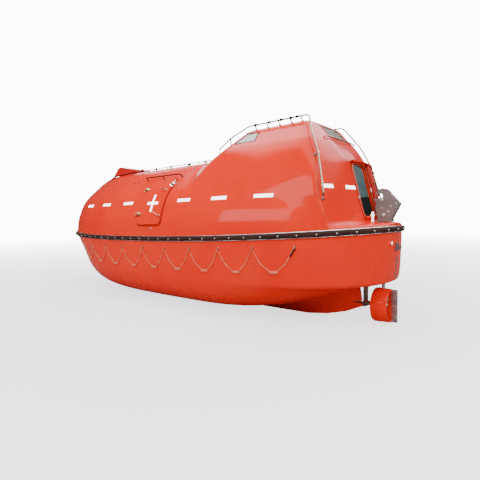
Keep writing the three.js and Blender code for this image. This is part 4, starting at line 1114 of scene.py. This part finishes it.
class FENDER_OT_build(Operator):
    """Dress the fender with its bolts and edge strips"""

    bl_idname = "lifeboat.fender"
    bl_label = "Fender"

    def execute(self, context):
        sizes = context.scene.lifeboat_fittings
        dress("fender", "fender_rubber", angle=40)
        bm = bmesh.new()
        for point, along in evenly(gunwale_outline(0.043), sizes.bolt_count):
            out = Vector((along.y, -along.x, 0)).normalized()
            dome(bm, axes_matrix(point + Z * -0.004, out), sizes.bolt_radius, 0.007)
        finished("fender_bolts", bm, "bright_bolt", "boat")
        for name, level, grow in (("lower", -0.040, 0.020), ("upper", 0.040, 0.014)):
            bm = bmesh.new()
            tube(bm, [p + Z * level for p in gunwale_outline(grow, 60)], 0.0045, 6)
            finished(f"fender_strip_{name}", bm, "galvanised_steel", "boat")
        return {"FINISHED"}


class RAILS_OT_build(Operator):
    """Dress the hand rails, with flanges at their feet and clamps on their bars"""

    bl_idname = "lifeboat.rails"
    bl_label = "Hand rails"
    # Start and direction of each line that finds a foot
    ROOF_FEET = [((x, 0.570, 1.800), (0, -0.65, -0.80)) for x in (-1.90, -2.13, -2.35, -2.56, -2.74)]
    OTHER_FEET = [
        ((-1.445, 0.640, 1.70), (0, 0, -1)), ((-1.190, 0.640, 1.55), (0, 0, -1)),
        ((-3.215, 0.960, 1.180), (0.82, -0.57, -0.09)), ((-3.335, 1.060, 0.62), (0.45, -0.75, -0.5)),
    ]
    DECK_FEET = [((x, 0.450, 1.38), (0, 0, -1)) for x in (2.25, 1.60, 1.00, 0.40, -0.20, -0.85)]
    HATCH_FEET = [((x, 0.905, 1.140), (0, -0.7, -0.7)) for x in (0.50, 0.01, -0.48)]
    # The roof rails turn down the aft corners from here
    DOWN_FROM = -2.800
    FLANGE = [(0, -0.004), (0.025, -0.004), (0.025, 0.003), (0.021, 0.005), (0, 0.005)]
    # Clamps: middle of each on its bar, and the bar's direction
    ROOF_CLAMPS = [((x, 0.585, 1.816), (1, 0, 0)) for x in (-1.92, -2.18, -2.40, -2.57, -2.68)]
    DECK_CLAMPS = [((x, 0.450, 1.379), (1, 0, 0)) for x in (1.25, 0.76, 0.30, -0.24, -0.66)]
    DOWN_CLAMPS = [((-3.215, 0.960, 1.180), (-0.4, 0.2, -1)), ((-3.313, 1.044, 0.78), (-0.2, 0.2, -1))]

    def execute(self, context):
        for node in NODES:
            if node.startswith(("foredeck_rail", "hatch_rail")):
                dress(node, "dull_steel", angle=50)
            elif node.startswith("roof_rail"):
                dress(node, angle=50, second="satin_steel", chosen=lambda place: place.x < self.DOWN_FROM)
        dress("aft_grab_bar", "satin_steel", angle=50)
        canopy = tree_of("canopy")
        for side, sign in SIDES.items():
            bm = bmesh.new()
            for start, look in self.ROOF_FEET + self.OTHER_FEET + self.DECK_FEET + self.HATCH_FEET:
                start, look = mirrored(Vector(start), sign) + Z * GUNWALE, mirrored(Vector(look), sign)
                place, normal = touch(canopy, start, look.normalized())
                spot = axes_matrix(place, normal)
                lathe(bm, self.FLANGE, spot)
                for turn in (0.0, 2.094, 4.188):
                    away = Matrix.Rotation(turn, 3, normal) @ spot.col[0].to_3d() * 0.018
                    dome(bm, axes_matrix(place + away + normal * 0.004, normal), 0.0035, 0.003, 8)
            finished(f"rail_flanges_{side}", bm, "stainless_steel", "boat")
            for name, finish, clamps in (
                ("rail_clamps", "gasket_rubber", self.ROOF_CLAMPS + self.DECK_CLAMPS),
                ("corner_clamps", "satin_steel", self.DOWN_CLAMPS),
            ):
                bm = bmesh.new()
                for middle, along in clamps:
                    middle = mirrored(Vector(middle), sign) + Z * GUNWALE
                    along = mirrored(Vector(along), sign).normalized() * 0.022
                    for part, radius in ((1, 0.018), (0.4, 0.022)):
                        rod(bm, middle - along * part, middle + along * part, radius, 20)
                finished(f"{name}_{side}", bm, finish, "boat")
        return {"FINISHED"}


class LINE_OT_build(Operator):
    """Dress the grab lines with floats and eye plates"""

    bl_idname = "lifeboat.grab_lines"
    bl_label = "Grab lines"
    # Place of the first eye, step to the next, number of loops, depth of the eyes below the gunwale,
    # sag of a loop, and distance of a float's middle from the hull
    FIRST, STEP, LOOPS, DROP, SAG, STAND = 2.475, -0.606, 9, 0.165, 0.330, 0.020
    # Ends of the dark whipping: forward of the aft eye, below it
    WHIPPING = ((0.0, 0.015), (0.060, 0.115))

    def execute(self, context):
        sizes = context.scene.lifeboat_fittings
        hull = tree_of("hull")
        for side, sign in SIDES.items():
            dress(f"grab_line_{side}", "rope", angle=60)
            floats, eyes = bmesh.new(), bmesh.new()
            for k in range(self.LOOPS + 1):
                x = self.FIRST + self.STEP * k
                place, normal = self.seat(hull, x, -self.DROP, sign)
                outline = rounded(-0.013, 0.013, -0.030, 0.030, 0.011, 4)
                plate(eyes, outline, axes_matrix(place, normal), 0.004, 0.001)
                dome(eyes, axes_matrix(place + Z * 0.019, normal), 0.006, 0.008, 10)
                if k < self.LOOPS:
                    middle, out = self.seat(hull, x + self.STEP / 2, -self.DROP - self.SAG, sign)
                    self.float(floats, middle + out * self.STAND, out, sizes)
            finished(f"line_floats_{side}", floats, "float_foam", "boat")
            finished(f"line_eyes_{side}", eyes, "bright_bolt", "boat")
            self.lashing(hull, side, sign, x)
        return {"FINISHED"}

    def lashing(self, hull, side, sign, x):
        """Dark whipping on the rope below its aft eye."""
        bm = bmesh.new()
        seats = [self.seat(hull, x + ahead, -self.DROP - below, sign) for ahead, below in self.WHIPPING]
        rod(bm, *(place + normal * 0.018 for place, normal in seats), 0.011)
        finished(f"line_lashing_{side}", bm, "gasket_rubber", "boat")

    def seat(self, hull, x, level, sign):
        return touch(hull, Vector((x, 3.0 * sign, GUNWALE + sheer(x) + level)), Y * -sign)

    def float(self, bm, place, out, sizes):
        along = (X - out * X.dot(out)).normalized()
        half, radius = sizes.float_length / 2, sizes.float_radius
        rows = [(0.0, -1.0), (0.45, -0.98), (0.78, -0.84), (0.97, -0.45), (1.0, 0.0)]
        profile = [(r * radius, h * half) for r, h in rows]
        profile += [(r * radius, -h * half) for r, h in rows[-2::-1]]
        lathe(bm, profile, axes_matrix(place, along), 16)


class HATCHES_OT_build(Operator):
    """Dress the side hatches: painted shadow round the leaf, cross, hinge straps, levers, catch and drain pin
    """

    bl_idname = "lifeboat.hatches"
    bl_label = "Side hatches"
    # Levers: place on the leaf, direction of the arm, its length
    LEVERS = [((-0.385, 0.215), (0.99, 0.14), 0.130), ((-0.415, -0.275), (0.91, 0.40), 0.160)]
    # Turned shapes: radius and height
    HUB = [(0, 0), (0.024, 0), (0.022, 0.010), (0.011, 0.014), (0.011, 0.040), (0, 0.042)]
    KNOB = [(0, -0.02), (0.012, -0.018), (0.019, 0), (0.012, 0.018), (0, 0.02)]
    PIN = [(0, -0.004), (0.016, -0.004), (0.016, 0.004), (0.010, 0.008), (0.010, 0.030), (0, 0.033)]
    STRAP = [
        (-0.040, 0.050), (0.040, 0.050), (0.034, -0.010), (0.014, -0.070), (-0.014, -0.070), (-0.034, -0.010),
    ]
    # Bands and grip of the catch's bar: finish, and where each begins along the bar
    SLEEVES = {
        "bands": ("white_paint", (-0.048, 0.012)), "grip": ("gasket_rubber", (-0.020, -0.012)),
    }
    # The bar's ends, its feet, and the length of a sleeve
    BAR, BAR_FEET, SLEEVE = (-0.056, 0.062), (-0.040, 0.046), 0.026
    # Forward place of the straps, and the pin's place below the leaf
    STRAP_AT, PIN_AT = 0.150, (-0.200, -0.478)
    # Distance of the painted shadow's middle outside the leaf
    GROOVE = 0.012

    def execute(self, context):
        canopy = tree_of("canopy")
        for side, sign in SIDES.items():
            node = f"side_hatch_{side}"
            dress(node, angle=30, edge=0.007, segments=3)
            leaf = tree_of(node)
            up = mirrored(SIDE_UP, sign)
            self.groove(canopy, side, sign)
            self.cross(leaf, side, sign)
            self.levers(leaf, side, sign, up)
            self.straps(leaf, side, sign)
            self.catch(side, sign, up)
            self.pin(canopy, side, sign)
        return {"FINISHED"}

    def seat(self, tree, x, along, sign):
        """Where the sloping side is met at a place of the hatch, and its outward direction."""
        return touch(tree, mirrored(on_side(x, along, 0.4), sign), -mirrored(SIDE_OUT, sign))

    def groove(self, canopy, side, sign):
        """A dark red tube round the leaf, on the canopy: painted shadow of the gap at its edge. Its long
        sides are laid down in eight parts.
        """
        outline = hatch_outline(self.GROOVE, HATCH["corner"], 8)
        line = []
        for (u, v), (w, t) in zip(outline, outline[1:] + outline[:1]):
            for part in range(8 if abs(u - w) + abs(v - t) > 0.2 else 1):
                share = part / 8
                place, normal = self.seat(canopy, u + (w - u) * share, v + (t - v) * share, sign)
                line.append(place + normal * 0.002)
        bm = bmesh.new()
        tube(bm, line, 0.010)
        finished(f"hatch_groove_{side}", bm, "groove", "boat")

    def cross(self, leaf, side, sign):
        bm = bmesh.new()
        start = Vector((-0.170, 2.2 * sign, GUNWALE + 0.620))
        for arm in ((0.285, 0.045, 0.0012, (10, 2)), (0.045, 0.300, 0.0018, (2, 10))):
            patch(bm, leaf, start, X, Z, Y * -sign, *arm)
        finished(f"hatch_cross_{side}", bm, "tape", f"side_hatch_{side}")

    def levers(self, leaf, side, sign, up):
        bm = bmesh.new()
        for (x, along), (ahead, rise), length in self.LEVERS:
            place, normal = self.seat(leaf, x, along, sign)
            lathe(bm, self.HUB, axes_matrix(place, normal))
            reach = X * ahead + up * rise
            start = place + normal * 0.034
            tip = start + (reach - normal * reach.dot(normal)).normalized() * length
            rod(bm, start, tip, 0.0085, 12, 0.0065)
            dome(bm, axes_matrix(tip, tip - place), 0.010, 0.011)
        finished(f"hatch_levers_{side}", bm, "bronze", f"side_hatch_{side}")

    def straps(self, leaf, side, sign):
        bm = bmesh.new()
        for along in HATCH_HINGES:
            place, normal = self.seat(leaf, self.STRAP_AT, along, sign)
            plate(bm, self.STRAP, axes_matrix(place - normal * 0.001, normal, X), 0.018, 0.006, 3)
            dome(bm, axes_matrix(place + normal * 0.014 + X * 0.012, normal), 0.030, 0.028, 18)
            for dx in (0.040, -0.046):
                dome(bm, axes_matrix(place + normal * 0.016 + X * dx, normal), 0.007, 0.005)
        finished(f"hatch_straps_{side}", bm, "bronze", f"side_hatch_{side}")

    def catch(self, side, sign, up):
        """A short banded bar on two feet, with a knob at its end."""
        middle = mirrored(on_side(*CATCH["foot"], CATCH["out"]), sign)
        along = (X * CATCH["along"][0] + up * CATCH["along"][1]).normalized()
        inwards = mirrored(SIDE_OUT, sign) * -(CATCH["out"] + 0.020)
        tail, tip = (middle + along * at for at in self.BAR)
        bm = bmesh.new()
        rod(bm, tail, tip, 0.015, 20)
        for at in self.BAR_FEET:
            rod(bm, middle + along * at, middle + along * at + inwards, 0.009)
        bar = finished(f"catch_bar_{side}", bm, "galvanised_steel", "boat")
        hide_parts(f"hatch_catch_{side}")
        for name, (finish, places) in self.SLEEVES.items():
            bm = bmesh.new()
            for at in places:
                rod(bm, middle + along * at, middle + along * (at + self.SLEEVE), 0.021, 20)
            finished(f"catch_{name}_{side}", bm, finish, "boat")
        bm = bmesh.new()
        lathe(bm, self.KNOB, axes_matrix(tip, along))
        finished(f"catch_knob_{side}", bm, "bronze", "boat")

    def pin(self, canopy, side, sign):
        """The short pin below the leaf."""
        bm = bmesh.new()
        lathe(bm, self.PIN, axes_matrix(*self.seat(canopy, *self.PIN_AT, sign)))
        finished(f"hatch_pin_{side}", bm, "bright_bolt", "boat")


class DOORWAY_OT_build(Operator):
    """Dress the aft door with its tracks, and make its rim, seal, painted shadow line, pull and latch"""

    bl_idname = "lifeboat.doorway"
    bl_label = "Aft doorway"
    # Section of the lip: distance outside the opening, distance out from the wall
    LIP = [
        (-0.0006, -0.014), (-0.0006, 0.010), (0.003, 0.014), (0.009, 0.0155), (0.015, 0.014),
        (0.018, 0.010), (0.018, -0.014),
    ]
    # Dark tubes, a seal inside the lip and a painted shadow line outside it: name, distance outside the
    # opening, distance out, radius
    SEALS = [("inner", -0.004, 0.004, 0.005), ("painted_shadow_line", 0.024, 0.001, 0.004)]
    # Places on the wall: across, up and out. The pull has two ends at its height
    KEEPER, LATCH = (0.297, 0.270, 0.012), (-0.700, 0.735, 0.049)
    PULL_ACROSS, PULL_ENDS, PULL_OUT, PULL_REACH = 0.19 - DOOR_TRAVEL, (0.30, 0.52), 0.050, 0.035
    PULL_FOOT = [(0, 0), (0.020, 0), (0.018, 0.006), (0, 0.006)]
    # Latch and its grip: finish, and two corners
    LATCH_PARTS = {
        "door_latch": ("white_paint", (-0.010, -0.030, 0), (0.022, 0.030, 0.024)),
        "door_latch_grip": ("gasket_rubber", (-0.042, -0.024, 0), (-0.014, 0.024, 0.020)),
    }

    def execute(self, context):
        # The open leaf takes the darker red: painted shade
        dress("aft_door", "door_gelcoat_painted_shade", angle=30, edge=0.006, segments=3)
        for node in ("door_track_lower", "door_track_upper"):
            dress(node, angle=30, edge=0.0012, segments=1)
        self.rim()
        self.gasket()
        self.fittings()
        return {"FINISHED"}

    def rim(self):
        """The raised lip round the opening, which follows the curve of the wall."""
        outlines = [door_outline(grow) for grow, _ in self.LIP]
        rings = [[on_drum(*spot, out) for spot, (_, out) in zip(spots, self.LIP)] for spots in zip(*outlines)]
        bm = bmesh.new()
        skinned(bm, rings, closed=True)
        # The lip's paler orange is a painted highlight
        finished("door_rim", bm, "rim_gelcoat", "boat", angle=60)

    def gasket(self):
        """A dark seal inside the lip, a shadow line outside it, and the keeper beside them."""
        for name, grow, out, radius in self.SEALS:
            bm = bmesh.new()
            tube(bm, [on_drum(u, v, out) for u, v in door_outline(grow)], radius)
            finished(f"door_gasket_{name}", bm, "gasket_rubber", "boat")
        bm = bmesh.new()
        spot = on_drum(*self.KEEPER)
        across, up, out = drum_axes(self.KEEPER[0])
        box(bm, (-0.010, -0.022, 0), (0.014, 0.022, 0.016), axes_matrix(spot, out, up), 0.003)
        rod(bm, spot + out * 0.010, spot + out * 0.010 - across * 0.014, 0.007)
        finished("door_keeper", bm, "bright_bolt", "boat")

    def fittings(self):
        """A pull bar and a latch on the open leaf."""
        bm = bmesh.new()
        _, up, out = drum_axes(-DOOR_TRAVEL)
        low, high = (on_drum(self.PULL_ACROSS, along, self.PULL_OUT) for along in self.PULL_ENDS)
        reach = out * self.PULL_REACH
        tube(bm, [low, low + reach, high + reach, high], 0.008, 10, closed=False)
        for end in (low, high):
            lathe(bm, self.PULL_FOOT, axes_matrix(end, out, up))
        finished("door_pull", bm, "stainless_steel", "aft_door")
        _, up, out = drum_axes(self.LATCH[0])
        spot = axes_matrix(on_drum(*self.LATCH), out, up)
        for name, (finish, low, high) in self.LATCH_PARTS.items():
            bm = bmesh.new()
            box(bm, low, high, spot, 0.004)
            finished(name, bm, finish, "aft_door")


class HOOKS_OT_build(Operator):
    """Dress the lifting hooks with their jaws and bolts, and the aft bollard"""

    bl_idname = "lifeboat.hooks"
    bl_label = "Lifting hooks"
    # Place on the cheek, head radius, height
    BOLTS = [
        (-3.745, 0.553, 0.018, 0.016), (-3.829, 0.393, 0.013, 0.012), (-3.768, 0.350, 0.015, 0.014),
        (-3.864, 0.468, 0.011, 0.010), (-3.937, 0.506, 0.012, 0.010), (-3.742, 0.443, 0.010, 0.010),
    ]
    FORE_SHIFT = Vector((5.900, 0, 0.756))
    # The bollard's orange foot ends at this height
    FOOT_TOP = GUNWALE + 0.256

    def execute(self, context):
        for hook, shift in (("aft", Vector()), ("fore", self.FORE_SHIFT)):
            dress(f"{hook}_hook", "hook_paint", angle=30, edge=0.003)
            dress(f"{hook}_hook_jaw", angle=30, edge=0.003)
            bm = bmesh.new()
            for x, z, radius, height in self.BOLTS:
                for sign in SIDES.values():
                    spot = Vector((x, 0.048 * sign, z + GUNWALE)) + shift
                    hexagon(bm, axes_matrix(spot, Y * sign), radius, height)
            finished(f"{hook}_hook_bolts", bm, "bright_bolt", "boat", 30)
        dress(
            "aft_bollard", "white_paint", angle=40, edge=0.003, second="orange_gelcoat",
            chosen=lambda place: place.z < self.FOOT_TOP,
        )
        return {"FINISHED"}


class DRIVE_OT_build(Operator):
    """Dress the nozzle, propeller, shaft bracket and stern fittings"""

    bl_idname = "lifeboat.drive"
    bl_label = "Drive and stern"
    # The nozzle's fin begins aft of its ring and its stock above it
    RING_END, RING_TOP = SHAFT.x - 0.1165, SHAFT.z + 0.2505

    def execute(self, context):
        dress(
            "nozzle", "orange_gelcoat", angle=40, edge=0.002, second="galvanised_steel",
            chosen=lambda place: place.x < self.RING_END or place.z > self.RING_TOP,
        )
        dress("propeller", "bronze", angle=40, edge=0.0015)
        dress("shaft_bracket", "worn_steel", angle=35, edge=0.003)
        for node, finish in (
            # The stern plug's paler orange is a painted highlight
            ("stern_bracket", "hook_paint"), ("stern_strap", "worn_steel"), ("stern_plug", "rim_gelcoat"),
        ):
            dress(node, finish, angle=35, edge=0.0012, segments=1)
        bm = bmesh.new()
        middle, normal = touch(tree_of("stern_plug"), Vector((-5.0, 0.270, GUNWALE - 0.036)), X)
        tube(bm, circle(axes_matrix(middle + normal * 0.001, normal), 0.019, 32), 0.004)
        finished("plug_ring", bm, "white_paint", "boat")
        return {"FINISHED"}


def softened(shape):
    """An outline with its corners rounded."""
    points = []
    for k, corner in enumerate(shape):
        points += curve(shape[k - 1], corner, shape[(k + 1) % len(shape)], 0.02, 4)
    return points


class MARKS_OT_build(Operator):
    """Lay the reflective strips, and make the side vents and the window gaskets"""

    bl_idname = "lifeboat.marks"
    bl_label = "Reflective strips"
    LEVEL = 0.645
    STATIONS = [-2.48, -1.69, -0.92, 0.63, 1.42, 2.21]
    # Breadth, height and width of the strips on the aft wall
    AFT = [(0.87, 0.745, 0.19), (0.42, 0.740, 0.23)]
    # Side vents: places forward, and their turned shape
    VENTS, VENT = (0.93, 0.79), [(0, -0.003), (0.018, -0.003), (0.018, 0.004), (0.011, 0.008), (0, 0.008)]

    def execute(self, context):
        sizes = context.scene.lifeboat_fittings
        canopy = tree_of("canopy")
        bm = bmesh.new()
        for sign in SIDES.values():
            for x in self.STATIONS:
                start = Vector((x, 2.2 * sign, GUNWALE + self.LEVEL))
                patch(bm, canopy, start, X, Z, Y * -sign, sizes.tape_length, sizes.tape_width)
            for y, z, width in self.AFT:
                start = Vector((-5.0, y * sign, GUNWALE + z))
                patch(bm, canopy, start, Y, Z, X, width, sizes.tape_width)
        finished("reflective_strips", bm, "tape", "boat")
        bm = bmesh.new()
        for sign in SIDES.values():
            inwards = Vector((0, -sign, -0.6)).normalized()
            for x in self.VENTS:
                spot = touch(canopy, Vector((x, 1.5 * sign, GUNWALE + 1.45)), inwards)
                lathe(bm, self.VENT, axes_matrix(*spot))
        finished("side_vents", bm, "gasket_rubber", "boat")
        bm = bmesh.new()
        for place, shape in WINDOWS.values():
            tube(bm, [place @ Vector((u, v, 0)) for u, v in softened(shape)], 0.0055)
        finished("window_gaskets", bm, "gasket_rubber", "boat")
        return {"FINISHED"}


STEPS = [
    STAGE_OT_build, SHELL_OT_build, INSIDE_OT_build, FENDER_OT_build, RAILS_OT_build, LINE_OT_build,
    HATCHES_OT_build, DOORWAY_OT_build, HOOKS_OT_build, DRIVE_OT_build, MARKS_OT_build,
]


class LIFEBOAT_PT_panel(Panel):
    """The building steps, in order"""

    bl_label = "Lifeboat"
    bl_idname = "LIFEBOAT_PT_panel"
    bl_space_type = "VIEW_3D"
    bl_region_type = "UI"
    bl_category = "Lifeboat"

    def draw(self, context):
        for step in STEPS:
            self.layout.operator(step.bl_idname)
        for group in (context.scene.lifeboat_gelcoat, context.scene.lifeboat_fittings):
            for name in group.__annotations__:
                self.layout.prop(group, name)


CLASSES = [GELCOAT_PG, FITTING_PG, STAGE_PG, *STEPS, LIFEBOAT_PT_panel]


def register():
    for each in CLASSES:
        bpy.utils.register_class(each)
    bpy.types.Scene.lifeboat_gelcoat = PointerProperty(type=GELCOAT_PG)
    bpy.types.Scene.lifeboat_fittings = PointerProperty(type=FITTING_PG)
    bpy.types.Scene.lifeboat_stage = PointerProperty(type=STAGE_PG)


def unregister():
    for name in ("lifeboat_gelcoat", "lifeboat_fittings", "lifeboat_stage"):
        delattr(bpy.types.Scene, name)
    for each in reversed(CLASSES):
        bpy.utils.unregister_class(each)


def main():
    """Register the add-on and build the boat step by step."""
    register()
    for step in STEPS:
        group, name = step.bl_idname.split(".")
        getattr(getattr(bpy.ops, group), name)()
    bpy.context.view_layer.update()


if __name__ == "__main__":
    main()
